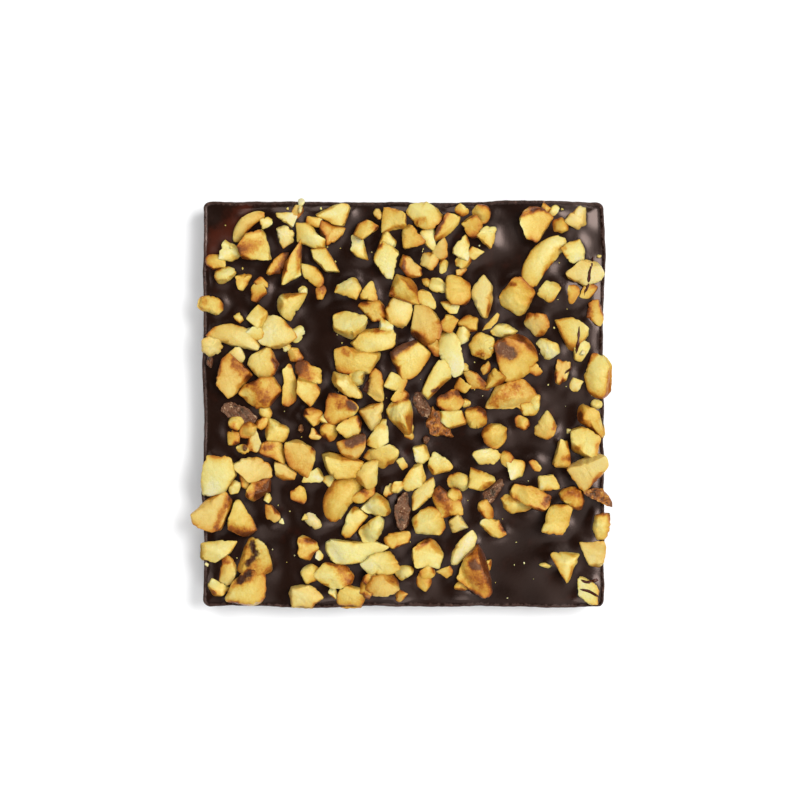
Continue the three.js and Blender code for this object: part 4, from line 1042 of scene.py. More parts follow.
def side_lines(piece, rings, chance):
    """The piece's sides in plan at its waist: which way each looks, how far out it lies, how much it bows,
    how much it leans in towards the top and whether it is the kernel's outside."""
    chop = CHOP[piece.cut]
    outline = OUTLINES.get((piece.x, piece.y))
    if outline:
        chop = chop | AS_OUTLINED
        waist = on_own_axes(piece, outline[::-1])
    else:
        waist = rings[1][:, :2] if len(rings) > 2 else (rings[0] + rings[1])[:, :2] / 2
    middle = waist.mean(axis=0)
    run = np.roll(waist, -1, axis=0) - waist
    normals = unit(np.column_stack([run[:, 1], -run[:, 0]]))
    distances = ((waist - middle) * normals).sum(axis=1) * chance.uniform(*chop["push"], len(normals))
    facing = np.arctan2(normals[:, 1], normals[:, 0])
    normals = ways_along(facing + np.radians(chop["turn"]) * chance.uniform(-1, 1, len(normals)))
    cuts = ways_along(chance.uniform(0, math.tau, chop["cuts"]))
    reach = (cuts @ (waist - middle).T).max(axis=1)
    normals = np.vstack([normals, cuts])
    distances = np.concatenate([distances, reach * chance.uniform(*CUT_DEPTH, len(cuts))])
    outside = np.zeros(len(normals))
    outside[chance.choice(len(normals), min(chop["outsides"], len(normals)), replace=False)] = 1
    bends = chance.uniform(*SIDE_BENDS, len(normals))
    leans = np.tan(np.radians(outside_or(outside, OUTSIDE_RISE, CUT_RISE, chance)))
    if outline:
        seen_from_above = np.maximum(leans * (WAIST - SUNK_SHARE), leans * (WAIST - 1)) * piece.height
        distances = distances - seen_from_above
        extents = np.ptp(waist, axis=0) - 2 * seen_from_above.mean()
    else:
        bends = np.where(outside > 0, OUTSIDE_BEND, bends)
        extents = np.array([piece.length, piece.breadth])
    return SimpleNamespace(
        middle=middle,
        extents=extents,
        normals=normals,
        distances=distances + bends / 2 * (piece.breadth * BOW_PLACE) ** 2,
        bends=bends,
        leans=leans,
        outside=outside,
        tones=chance.uniform(-SIDE_TONES, SIDE_TONES, len(normals)),
        # browned edges, and on cuts also paler ones that are a painted highlight
        edges=outside_or(outside, OUTSIDE_EDGE, CUT_EDGE_BROWN_AND_HIGHLIGHT, chance),
        # how much painted shade the top has along each side
        border_shades=chance.uniform(*BORDER_SHADE_ROAST, len(normals)),
        crisp=chance.uniform(*chop["crisp"]),
    )


def outside_or(outside, outside_span, cut_span, chance):
    """A draw for each side, from one span for the kernel's outside and from another for a cut."""
    count = len(outside)
    return np.where(outside > 0, chance.uniform(*outside_span, count), chance.uniform(*cut_span, count))


def nearness_of(angles, levels, sides):
    """How near each side lies along each angle, at levels above the waist, as one over the distance."""
    facing = ways_along(angles) @ sides.normals.T
    levels = np.broadcast_to(levels, len(angles))[:, None]
    drawn_in = levels * sides.leans + sides.outside * OUTSIDE_BEND / 2 * levels ** 2
    distances = np.maximum(sides.distances - drawn_in, sides.distances * LEAST_REACH)
    spread = (1 - facing * facing) * sides.bends / 2
    root = facing * facing + 4 * spread * distances
    nearness = (facing + np.sqrt(np.maximum(root, 0))) / (2 * distances)
    return np.where(root > 0, np.maximum(nearness, 0), 0)


def reach_of(angles, levels, sides):
    """How far out the piece reaches along each angle, at levels above the waist."""
    return (nearness_of(angles, levels, sides) ** sides.crisp).sum(axis=1) ** (-1 / sides.crisp)


def fitted_angles(sides, count):
    """Angles that space the outline evenly, and the scale that brings it to the piece's extents."""
    angles = np.linspace(0, math.tau, OUTLINE_STEPS + 1)
    outline = ways_along(angles) * reach_of(angles, 0, sides)[:, None]
    scale = GROWTH * sides.extents / np.ptp(outline, axis=0)
    steps = np.linalg.norm(np.diff(outline * scale, axis=0), axis=1)
    run = np.concatenate([[0], np.cumsum(steps)])
    return np.interp(np.linspace(0, run[-1], count, endpoint=False), run, angles), scale


def broken_off(angles, reach, size, chance):
    """Scoops and small notches that broke out of the outline, as lengths to take off its reach."""
    taken = np.zeros_like(reach)
    for most, widths, depth in BREAKS:
        for _ in range(chance.integers(0, most + 1)):
            apart = (angles - chance.uniform(0, math.tau) + math.pi) % math.tau - math.pi
            width = chance.uniform(*widths) * size
            share = np.maximum(1 - (2 * apart * reach / width) ** 2, 0)
            taken = np.maximum(taken, depth * width * chance.uniform(*BREAK_SHARES) * share)
    return taken + JAG_DEPTH * size * jagged(angles, reach, JAG_SPACING, chance)


def jagged(angles, reach, spacing, chance):
    """Values from 0 to 1 that run straight between corners about that far apart round the outline."""
    count = max(3, round(math.tau * reach.mean() / spacing))
    corners = np.sort(chance.uniform(0, math.tau, count))
    return np.interp(angles, corners, chance.uniform(0, 1, count), period=math.tau)


def top_faces(piece, rings, middle, chance):
    """The faces that bound a piece from above, as the level over its middle and the fall along u and v, and
    how much the first one swells."""
    chop = CHOP[piece.cut]
    ring = rings[-1]
    flat = np.column_stack([np.ones(len(ring)), ring[:, :2] - middle])
    faces = [np.linalg.lstsq(flat, ring[:, 2], rcond=None)[0]]
    if chance.uniform() < chop["slope"]:
        slope = math.tan(math.radians(chance.uniform(*SLOPE_FALL)))
        fall = -slope * any_way(chance)
        rise = slope * chance.uniform(*SLOPE_PLACE) * piece.breadth / 2
        faces.append(np.array([faces[0][0] + rise, *fall]))
    return SimpleNamespace(faces=np.array(faces), swell=chance.uniform(*chop["swell"]) * piece.height)


def top_of(piece, top, plan):
    """The level of a piece's top over points of its plan."""
    levels = top.faces[:, 0] + plan @ top.faces[:, 1:].T
    across = (plan / (piece.length / 2, piece.breadth / 2)) ** 2
    levels[:, 0] += top.swell * (MEAN_SWELL - across.sum(axis=1))
    level = -SLOPE_BLEND * np.log(np.exp(-levels / SLOPE_BLEND).sum(axis=1))
    return np.maximum(level, LEAST_EDGE * piece.height)


def roast_of(piece, points, flank, inward, sides, shares, chance):
    """How far each point is roasted: more on the flanks that were the kernel's outside, along their edges and
    on the side that lay nearer the heat, where a dark piece has a ragged patch. Painted light is in it too:
    painted shade on all flanks and in a band round the top, a painted highlight in the heart of the top,
    and cut edges that can be paler as a painted highlight."""
    heat = any_way(chance)
    side = points[:, :2] @ heat / (piece.length / 2)
    border_length, border_depth = PATCH_BORDER
    ragged_side = side + border_depth * ripple(points, chance, border_length)
    stretch_length, stretch_share = EDGE_STRETCHES
    stretches = eased(stretch_share * (1 + ripple(points, chance, stretch_length)))
    # Browned edges, and cut edges that are paler as a painted highlight
    edge = np.exp(-inward / EDGE_WIDTH) * (shares @ sides.edges)
    # Painted shade in a band round the top, and a painted highlight in its heart
    border = HEART_HIGHLIGHT_ROAST + np.exp(-inward / BORDER_SHADE_WIDTH) * (shares @ sides.border_shades)
    return (
        min(piece.roast, PLAIN_ROAST)
        + PATCH_ROAST * max(piece.roast - PLAIN_ROAST, 0) * eased(PATCH_SHARE + ragged_side)
        + SIDE_ROAST * side
        + border
        + edge * stretches
        # painted shade on the flanks, with their roast
        + flank * (FLANK_ROAST_AND_SHADE + shares @ (OUTSIDE_ROAST * sides.outside + sides.tones))
    )


def ring_layers(piece, sides, top, angles, ways, chance):
    """The rings of a piece from its foot up its flank, over its edge and in to the middle of its top: how far
    out and how high each lies, how much of it is flank and how far in from the edge it is. Also gives how far
    out the edge is."""
    size = detail_size(piece)
    waist = WAIST * piece.height
    edge = np.full(len(angles), piece.height)
    for _ in range(EDGE_PASSES):
        reach = reach_of(angles, edge - waist, sides)
        edge = top_of(piece, top, ways * reach[:, None])
    taken = broken_off(angles, reach, size, chance)
    bevel = size * (BEVEL + CHIP * jagged(angles, reach, CHIP_SPACING, chance) ** CHIP_RARITY)

    layers = []
    for share in FLANK_RINGS + (1,):
        level = share * (edge - bevel)
        out = reach_of(angles, level - waist, sides) - taken * eased(share)
        layers.append((out, level, 1, 0))
    for angle in BEVEL_ANGLES:
        turn = math.radians(angle)
        out = reach - taken - bevel * (1 - math.cos(turn))
        layers.append((out, edge - bevel * (1 - math.sin(turn)), 1 - angle / 90, 0))
    for share in np.linspace(1, 0, ring_counts(piece)[1], endpoint=False):
        out = (reach - taken - bevel) * share
        layers.append((out, top_of(piece, top, ways * out[:, None]), 0, (reach - taken) * (1 - share)))
    return layers, reach


def ring_counts(piece):
    """How many points a ring of the piece has, and how many rings its top has."""
    return next(counts for length, counts in RINGS if piece.length >= length)


def detail_size(piece):
    """How large notches and lumps are on a piece, as a share of their full size."""
    return min(1, piece.breadth / FULL_DETAIL)


def lumpy(piece, points, chance):
    """Pushes a piece's points in and out from its middle, for an uneven surface."""
    lift = points - (0, 0, WAIST * piece.height)
    lift = lift / np.maximum(np.linalg.norm(lift, axis=1, keepdims=True), LEAST_LEVER)
    for length, height in FLAKE_LUMPS if piece.cut == "flake" else LUMPS:
        points = points + lift * (ripple(points, chance, length) * height * detail_size(piece))[:, None]
    return points


def nut_form(piece, rings, chance):
    """The finished piece about its own middle, its faces, and how far each point is roasted.
    Its points run in rings from the foot to the top, followed by the middles of both."""
    sides = side_lines(piece, rings, chance)
    top = top_faces(piece, rings, sides.middle, chance)
    around = ring_counts(piece)[0]
    angles, scale = fitted_angles(sides, around)
    ways = ways_along(angles) * scale
    layers, reach = ring_layers(piece, sides, top, angles, ways, chance)
    points = [np.column_stack([ways * out[:, None], level]) for out, level, _, _ in layers]
    middles = np.array([(0, 0, 0), (0, 0, top_of(piece, top, np.zeros((1, 2)))[0])])
    points = lumpy(piece, np.vstack(points + [middles]), chance)

    flank = [np.full(around, share) for _, _, share, _ in layers]
    flank = np.concatenate(flank + [[1, 0]])
    inward = [np.broadcast_to(depth, around) for _, _, _, depth in layers]
    inward = np.concatenate(inward + [[0, reach.mean()]])
    shares = nearness_of(angles, 0, sides) ** TONE_SOFTNESS
    shares = shares / shares.sum(axis=1, keepdims=True)
    shares = np.vstack([np.tile(shares, (len(layers), 1)), np.tile(shares.mean(axis=0), (2, 1))])
    roast = roast_of(piece, points, flank, inward, sides, shares, chance)

    points[:, :2] += sides.middle
    if piece.cut == "slice":
        points = bent(piece, points)
    return points, ring_faces(len(layers), around), roast


def ring_faces(count, around):
    """Squares between rings of points, and triangles from the first and last ring to the two points after."""
    index = np.arange(count * around).reshape(count, around)
    beside = np.roll(index, -1, axis=1)
    squares = np.stack([index[:-1], beside[:-1], beside[1:], index[1:]], axis=-1).reshape(-1, 4)
    foot = np.column_stack([beside[0], index[0], np.full(around, count * around)])
    peak = np.column_stack([index[-1], beside[-1], np.full(around, count * around + 1)])
    return squares, foot, peak


def in_place(piece, points):
    """Turns a piece's points from its own axes to its place on the bar."""
    angle = math.radians(piece.turn)
    u, v, z = points.T
    return np.column_stack([
        piece.x + u * math.cos(angle) - v * math.sin(angle),
        piece.y + u * math.sin(angle) + v * math.cos(angle),
        piece.foot + z,
    ])


def on_own_axes(piece, places):
    """Turns places on the bar to a piece's own axes, about its middle."""
    angle = math.radians(piece.turn)
    x, y = (np.array(places) - (piece.x, piece.y)).T
    return np.column_stack([
        x * math.cos(angle) + y * math.sin(angle),
        y * math.cos(angle) - x * math.sin(angle),
    ])


def beyond_rim(points):
    """How far out from the slab's rim each point lies."""
    return np.maximum(np.abs(points[:, 0]) - WIDTH / 2, np.abs(points[:, 1]) - DEPTH / 2)


def clear_of_wall(points):
    """Lifts the foot of what hangs over the rim, so that the wall below stays free."""
    beyond = beyond_rim(points)
    lifted = np.maximum(points[:, 2], THICKNESS + UNDERCUT * beyond)
    points[:, 2] = np.where(beyond > -WALL_DRAFT, lifted, points[:, 2])
    return points


def kind_of(piece):
    """The name of the mesh that a piece joins: its cut, with the chunks kept apart by size."""
    if piece.cut != "chunk":
        return KINDS[piece.cut]
    if piece.length >= LARGE:
        return "large_chunks"
    return "chunks" if piece.length >= MIDDLING else "small_chunks"


class Heap:
    """Many small forms gathered into the points, faces and values of one mesh."""

    def __init__(self):
        self.points = []
        self.faces = []
        self.values = {}
        self.count = 0

    def add(self, points, face_sets, **values):
        for faces in face_sets:
            self.faces += (faces + self.count).tolist()
        self.points.append(points)
        self.count += len(points)
        for name, value in values.items():
            self.values.setdefault(name, []).append(np.broadcast_to(value, len(points)))

    def mark(self):
        """Adds the values that depend on where the points lie on the bar."""
        points = np.vstack(self.points)
        for name, patches in (("brown", BROWNED), ("skin", SKIN_LEFT), ("smear", SMEARS)):
            self.values[name] = [patch_depth(points, patches)]
        dry = OVERHANG_DRYNESS * np.maximum(beyond_rim(points) + RIM_CREST, 0)
        self.values["above"] = [points[:, 2] - THICKNESS + dry]

    def build(self, name, material):
        values = {key: np.concatenate(parts) for key, parts in self.values.items()}
        return mesh_piece(name, np.vstack(self.points), self.faces, material, values)


def mesh_piece(name, points, faces, material, values):
    """A smooth mesh from points in millimetres, with the values at its points that its material reads."""
    mesh = bpy.data.meshes.new(name)
    mesh.from_pydata((points * MM).tolist(), [], faces)
    mesh.shade_smooth()
    for key, value in values.items():
        mesh.attributes.new(key, "FLOAT", "POINT").data.foreach_set("value", value.astype(np.float32))
    mesh.materials.append(material)
    piece = bpy.data.objects.new(name, mesh)
    bpy.context.scene.collection.objects.link(piece)
    return piece


def patch_depth(points, patches):
    """How deep in the patches each point lies: 1 on a patch's line, 0 at its border and less beyond."""
    depth = np.full(len(points), -1.0)
    for start_x, start_y, end_x, end_y, half_width in patches:
        run = np.array([end_x - start_x, end_y - start_y])
        from_start = points[:, :2] - (start_x, start_y)
        along = np.clip(from_start @ run / (run @ run), 0, 1)
        distance = np.linalg.norm(from_start - along[:, None] * run, axis=1)
        depth = np.maximum(depth, 1 - distance / half_width)
    return depth


def chopped_nuts(chance):
    """The heaps of nut pieces by kind, in the order that the bar's solid lays them."""
    draw = draws_from(SEED)
    pieces = lay_out(draw)
    heaps = {}
    for i, piece in enumerate(pieces):
        settle(piece, pieces[:i], draw)
        if piece.roast is None:
            piece.roast = chance.uniform(*SCATTER_ROAST)
        rings = slice_rings(piece) if piece.cut == "slice" else chopped_rings(piece, draw)
        points, face_sets, roast = nut_form(piece, rings, chance)
        heap = heaps.setdefault(kind_of(piece), Heap())
        if piece.cut == "flake":
            roast = piece.roast
        points = clear_of_wall(in_place(piece, points))
        heap.add(points, face_sets, roast=roast, tint=chance.uniform())
    for heap in heaps.values():
        heap.mark()
    return heaps


# The chocolate slab


def grid_squares(index):
    """The squares between the points of a grid, given their numbers."""
    return np.stack([index[:-1, :-1], index[1:, :-1], index[1:, 1:], index[:-1, 1:]], axis=-1).reshape(-1, 4)


def rim_places(side):
    """Places across a side of the slab, closer together near the rim."""
    half = side / 2
    rim = np.linspace(half, half - RIM_ZONE, round(RIM_ZONE / RIM_SPACING), endpoint=False)
    inner = np.linspace(RIM_ZONE - half, half - RIM_ZONE, round((side - 2 * RIM_ZONE) / TOP_SPACING) + 1)
    return np.concatenate([-rim, inner, rim[::-1]])


def rounded_plan(x, y):
    """Brings the corners of a square grid onto the rounded corners of the slab."""
    over_x = np.maximum(np.abs(x) - (WIDTH / 2 - CORNER_RADIUS), 0) / CORNER_RADIUS
    over_y = np.maximum(np.abs(y) - (DEPTH / 2 - CORNER_RADIUS), 0) / CORNER_RADIUS
    round_x = over_x * np.sqrt(1 - over_y ** 2 / 2)
    round_y = over_y * np.sqrt(1 - over_x ** 2 / 2)
    inset = CORNER_RADIUS * (1 - np.hypot(round_x, round_y))
    plain_inset = np.minimum(WIDTH / 2 - np.abs(x), DEPTH / 2 - np.abs(y))
    inset = np.where((over_x > 0) | (over_y > 0), inset, plain_inset)
    x = x - np.sign(x) * (over_x - round_x) * CORNER_RADIUS
    y = y - np.sign(y) * (over_y - round_y) * CORNER_RADIUS
    return x, y, np.maximum(inset, 0)


def shore_of(heaps):
    """The points where nuts and chocolate meet, to be searched by place."""
    points = np.vstack([np.vstack(heap.points) for heap in heaps.values()])
    shore = points[np.abs(points[:, 2] - THICKNESS) < SHORE_BAND]
    tree = kdtree.KDTree(len(shore))
    for i, (x, y, _) in enumerate(shore.tolist()):
        tree.insert((x, y, 0), i)
    tree.balance()
    return tree


def smoothed(field):
    """Evens out a field of levels on a grid: each keeps half and takes half from the four beside it."""
    for _ in range(SMOOTHINGS):
        wide = np.pad(field, 1, mode="edge")
        beside = wide[:-2, 1:-1] + wide[2:, 1:-1] + wide[1:-1, :-2] + wide[1:-1, 2:]
        field = (beside + 4 * field) / 8
    return field


def top_level(x, y, inset, shape, shore, chance):
    """The level of the poured top: its lip, its waves and its climb up the nuts."""
    flat = np.column_stack([x, y, np.zeros_like(x)])
    lip = 1 - eased((inset - RIM_CREST) / LIP_FALL)
    level = THICKNESS + LIP_LEFT * LIP_HEIGHT * lip
    level = level - RIM_ROUNDING * np.maximum(1 - inset / RIM_ROUNDING, 0) ** 2
    for length, height in WAVE_HEIGHTS:
        level = level + height * ripple(flat, chance, length)
    inside = eased((inset - LIP_CREST) / LIP_WIDTH)
    distance = np.array([shore.find(place)[2] for place in flat.tolist()])
    uneven_length, uneven_depth = MENISCUS_UNEVEN
    rise = MENISCUS_RISE * (1 + uneven_depth * ripple(flat, chance, uneven_length))
    climb = rise * np.exp(-distance / MENISCUS_WIDTH)
    return level + inside * smoothed(climb.reshape(shape)).ravel()


def wobbled(points, chance):
    """Lets the slab's outline run a little out of true."""
    x, y, z = points.T
    high = eased(1 - (THICKNESS - z) / WOBBLE_FADE)
    pull_x = np.sign(x) * high * eased((np.abs(x) - WIDTH / 2 + WOBBLE_FADE) / WOBBLE_FADE)
    pull_y = np.sign(y) * high * eased((np.abs(y) - DEPTH / 2 + WOBBLE_FADE) / WOBBLE_FADE)
    flat = np.column_stack([x, y, 0 * z])
    for length, depth in EDGE_WOBBLES:
        x = x + depth * pull_x * ripple(flat, chance, length)
        y = y + depth * pull_y * ripple(flat, chance, length)
    return np.column_stack([x, y, z])


def warmth_over(points):
    """How thin and red the chocolate looks at each point."""
    warmth = np.zeros(len(points))
    for x, y, radius in WARM_PATCHES:
        warmth += np.exp(-((points[:, :2] - (x, y)) ** 2).sum(axis=1) / radius ** 2)
    return warmth


def chocolate_slab(heaps, material, chance):
    grid_x, grid_y = np.meshgrid(rim_places(WIDTH), rim_places(DEPTH), indexing="ij")
    x, y, inset = rounded_plan(grid_x.ravel(), grid_y.ravel())
    level = top_level(x, y, inset, grid_x.shape, shore_of(heaps), chance)
    top = np.column_stack([x, y, level])
    index = np.arange(len(top)).reshape(grid_x.shape)
    rim = np.concatenate([index[:, 0], index[-1, 1:], index[-2::-1, -1], index[0, -2:0:-1]])
    below, scuffs, faces = walls_below(top, rim)
    points = np.vstack([top, below])
    values = {
        "rim": np.concatenate([1 - inset / SCUFF_WIDTH, scuffs]),
        "warm": warmth_over(points),
    }
    faces = grid_squares(index).tolist() + faces
    return mesh_piece("chocolate_slab", wobbled(points, chance), faces, material, values)


def walls_below(top, rim):
    """The slab's points from its rim to the middle of its underside, how scuffed each is, and the faces."""
    points = []
    scuffs = []
    faces = []
    above = rim
    for inset, level, scuff in wall_profile():
        ring = len(top) + len(points) * len(rim) + np.arange(len(rim))
        points.append(top[rim] * (1 - 2 * inset / WIDTH, 1 - 2 * inset / DEPTH, 0) + (0, 0, level))
        scuffs.append(np.full(len(rim), scuff))
        faces += np.column_stack([np.roll(above, -1), above, ring, np.roll(ring, -1)]).tolist()
        above = ring
    middle = np.full(len(rim), len(top) + len(points) * len(rim))
    points.append(np.zeros((1, 3)))
    scuffs.append(np.zeros(1))
    faces += np.column_stack([np.roll(above, -1), above, middle]).tolist()
    return np.vstack(points), np.concatenate(scuffs), faces


def wall_profile():
    """The slab's side from rim to underside: the inset and level of each ring, and how scuffed it is."""
    rim = THICKNESS + LIP_LEFT * LIP_HEIGHT - RIM_ROUNDING
    profile = []
    for step in range(1, WALL_RINGS + 1):
        down = step / WALL_RINGS
        scuff = WALL_SCUFF * max(0, 1 - down / WALL_SCUFF_REACH)
        profile.append((WALL_DRAFT * down, rim + (FOOT_CHAMFER - rim) * down, scuff))
    for step in range(1, FOOT_RINGS + 1):
        angle = math.pi / 2 * step / FOOT_RINGS
        inset = WALL_DRAFT + FOOT_CHAMFER * (1 - math.cos(angle))
        profile.append((inset, FOOT_CHAMFER * (1 - math.sin(angle)), 0))
    return profile


# Crumbs and threads that lie on the bar


def surface_below(pieces, x, y):
    """The highest point of the pieces under a place that is on the bar, in millimetres."""
    start = Vector((x * MM, y * MM, CAST_FROM * MM))
    casts = [piece.ray_cast(start, Vector((0, 0, -1))) for piece in pieces]
    highest = max((place for hit, place, _, _ in casts if hit), key=lambda place: place.z)
    return np.array(highest) / MM


def ball(steps):
    """A cube swollen into a ball: the way to each of its points, and its squares."""
    row = np.tan(np.linspace(-1, 1, steps + 1) * math.pi / 4)
    across, up = np.meshgrid(row, row, indexing="ij")
    out = np.ones_like(across)
    index = np.arange((steps + 1) ** 2).reshape(steps + 1, steps + 1)
    face_squares = grid_squares(index)
    points = []
    squares = []
    for side in (1, -1):
        for axis in range(3):
            face = np.roll(np.stack([side * out, side * across, up], axis=-1), axis, axis=-1)
            squares.append(face_squares + len(points) * index.size)
            points.append(face.reshape(-1, 3))
    points = np.vstack(points)
    _, first, same = np.unique(points.round(SAME_POINT), axis=0, return_index=True, return_inverse=True)
    return unit(points[first]), same.reshape(-1)[np.vstack(squares)]


def add_crumb(heap, place, size, roasts, chance):
    """A ball cut down by a few faces at random."""
    ways, squares = ball(CRUMB_STEPS)
    shape = size / 2 * chance.uniform(*CRUMB_SPREAD, 3)
    normals = unit(chance.normal(size=(CRUMB_FACES, 3)))
    nearness = (ways @ normals.T / chance.uniform(*CRUMB_FACE_PLACES, CRUMB_FACES)).max(axis=1)
    points = ways * shape / np.maximum(nearness, CRUMB_BLUNTNESS)[:, None]
    roast = chance.uniform(*roasts)
    heap.add(points + place + (0, 0, CRUMB_LIFT * size), (squares,), roast=roast, tint=chance.uniform())


def crumbs(name, rows, roasts, pieces, material, chance, fine=0):
    """Crumbs at their places, and a number of fine ones scattered over the bare chocolate."""
    heap = Heap()
    for x, y, size in rows:
        add_crumb(heap, surface_below(pieces, x, y), size, roasts, chance)
    while fine > 0:
        x = chance.uniform(-CRUMB_FIELD, CRUMB_FIELD) * WIDTH
        y = chance.uniform(-CRUMB_FIELD, CRUMB_FIELD) * DEPTH
        place = surface_below(pieces, x, y)
        if place[2] < THICKNESS + CRUMB_LEVEL:
            add_crumb(heap, place, chance.uniform(*FINE_CRUMB_SIZE), roasts, chance)
            fine -= 1
    heap.mark()
    heap.values["above"] = [np.ones(heap.count)]
    return heap.build(name, material)


def tube(path, radii):
    """A tapering tube along a path, closed at both ends."""
    forward = unit(np.gradient(path, axis=0))
    across = unit(np.cross(forward, (0, 0, 1)))
    up = np.cross(forward, across)
    angles = np.linspace(0, math.tau, THREAD_SIDES, endpoint=False)[None, :, None]
    out = across[:, None, :] * np.cos(angles) + up[:, None, :] * np.sin(angles)
    rings = path[:, None, :] + radii[:, None, None] * out
    points = np.vstack([rings.reshape(-1, 3), path[:1], path[-1:]])
    return points, ring_faces(len(path), THREAD_SIDES)


def chocolate_threads(pieces, material, chance):
    heap = Heap()
    share = np.linspace(0, 1, THREAD_STEPS)
    taper = np.minimum(1, THREAD_TAPER * np.minimum(share, 1 - share) + THREAD_TIP)
    bend_length, bend_depth = THREAD_WANDER
    uneven_length, uneven_share = THREAD_UNEVEN
    for start_x, start_y, end_x, end_y in THREADS:
        line = np.column_stack([
            start_x + (end_x - start_x) * share,
            start_y + (end_y - start_y) * share,
            np.zeros(THREAD_STEPS),
        ])
        for axis in (0, 1):
            line[:, axis] += bend_depth * ripple(line, chance, bend_length)
        levels = [surface_below(pieces, x, y)[2] for x, y, _ in line]
        levels = np.pad(levels, THREAD_SPAN // 2, mode="edge")
        line[:, 2] = np.convolve(levels, np.ones(THREAD_SPAN) / THREAD_SPAN, mode="valid")
        radii = THREAD_RADIUS * taper * (1 + uneven_share * ripple(line, chance, uneven_length))
        line[:, 2] -= THREAD_SUNK * radii
        points, face_sets = tube(line, radii)
        heap.add(points, face_sets, rim=0, warm=THREAD_WARMTH)
    return heap.build("chocolate_threads", material)


# Materials


def shader_colour(colour, level=LAMP_LEVEL):
    """The linear colour that looks like this under lamps of that level, by the usual curve of screens."""
    parts = [part / 255 for part in colour]
    parts = [part / 12.92 if part <= 0.04045 else ((part + 0.055) / 1.055) ** 2.4 for part in parts]
    return [part / level for part in parts] + [1]


def connect(tree, node, inputs):
    """Sets inputs of a node to values or links them to other nodes."""
    for name, value in inputs.items():
        if isinstance(value, bpy.types.NodeSocket):
            tree.links.new(value, node.inputs[name])
        else:
            node.inputs[name].default_value = value


def add(tree, kind, inputs=None, **settings):
    """One node with its settings and inputs."""
    node = tree.nodes.new(kind)
    for name, value in settings.items():
        setattr(node, name, value)
    connect(tree, node, inputs or {})
    return node


def math_node(tree, operation, first, second=0.0, third=0.0):
    return add(tree, "ShaderNodeMath", {0: first, 1: second, 2: third}, operation=operation).outputs[0]


def product(tree, first, second):
    return math_node(tree, "MULTIPLY", first, second)


def with_share(tree, base, share, extra):
    """A value with a share of another one added."""
    return math_node(tree, "MULTIPLY_ADD", extra, share, base)


def mixed(tree, share, first, second):
    """One colour turning into another by a share: in at sockets 6 and 7 of a colour mix, and out at 2."""
    return add(tree, "ShaderNodeMix", {0: share, 6: first, 7: second}, data_type="RGBA").outputs[2]


def stretched(tree, value, span, ends=(0.0, 1.0), **settings):
    """A value carried from one span to another along a straight line."""
    inputs = {0: value, 1: span[0], 2: span[1], 3: ends[0], 4: ends[1]}
    return add(tree, "ShaderNodeMapRange", inputs, **settings).outputs[0]


def stepped(tree, value, span, most=1.0):
    """A value that rises from 0 to its most over a span, with soft ends."""
    return stretched(tree, value, span, (0.0, most), interpolation_type="SMOOTHSTEP")


def ramp(tree, value, stops):
    node = add(tree, "ShaderNodeValToRGB", {0: value})
    elements = node.color_ramp.elements
    while len(elements) < len(stops):
        elements.new(0.5)
    for element, (place, colour) in zip(elements, stops):
        element.position = place
        element.color = shader_colour(colour)
    return node.outputs[0]


def attribute(tree, name):
    return add(tree, "ShaderNodeAttribute", attribute_name=name).outputs["Fac"]


def new_group(name, inputs, outputs):
    """An empty node group with named inputs and outputs. Returns it with its two end nodes."""
    group = bpy.data.node_groups.new(name, "ShaderNodeTree")
    for way, sockets in (("INPUT", inputs), ("OUTPUT", outputs)):
        for socket, kind in sockets:
            group.interface.new_socket(socket, in_out=way, socket_type=kind)
    return group, group.nodes.new("NodeGroupInput"), group.nodes.new("NodeGroupOutput")


def mottle_group():
    """Cloudy unevenness of a natural surface, about -1 to 1, in bumps of a size given in millimetres."""
    group, given, result = new_group(
        "Mottle",
        [("Size", "NodeSocketFloat"), ("Detail", "NodeSocketFloat"), ("Shift", "NodeSocketFloat")],
        [("Value", "NodeSocketFloat")],
    )
    place = add(group, "ShaderNodeTexCoord").outputs["Object"]
    scale = math_node(group, "DIVIDE", 1 / MM, given.outputs["Size"])
    noise = add(
        group, "ShaderNodeTexNoise",
        {"Vector": place, "W": given.outputs["Shift"], "Scale": scale, "Detail": given.outputs["Detail"]},
        noise_dimensions="4D",
    )
    connect(group, result, {"Value": stretched(group, noise.outputs["Fac"], NOISE_SPAN, WHOLE)})
    return group


def mottle(tree, groups, kind):
    size, detail, shift = kind
    inputs = {"Size": size, "Detail": detail, "Shift": shift}
    return add(tree, "ShaderNodeGroup", inputs, node_tree=groups["mottle"]).outputs["Value"]


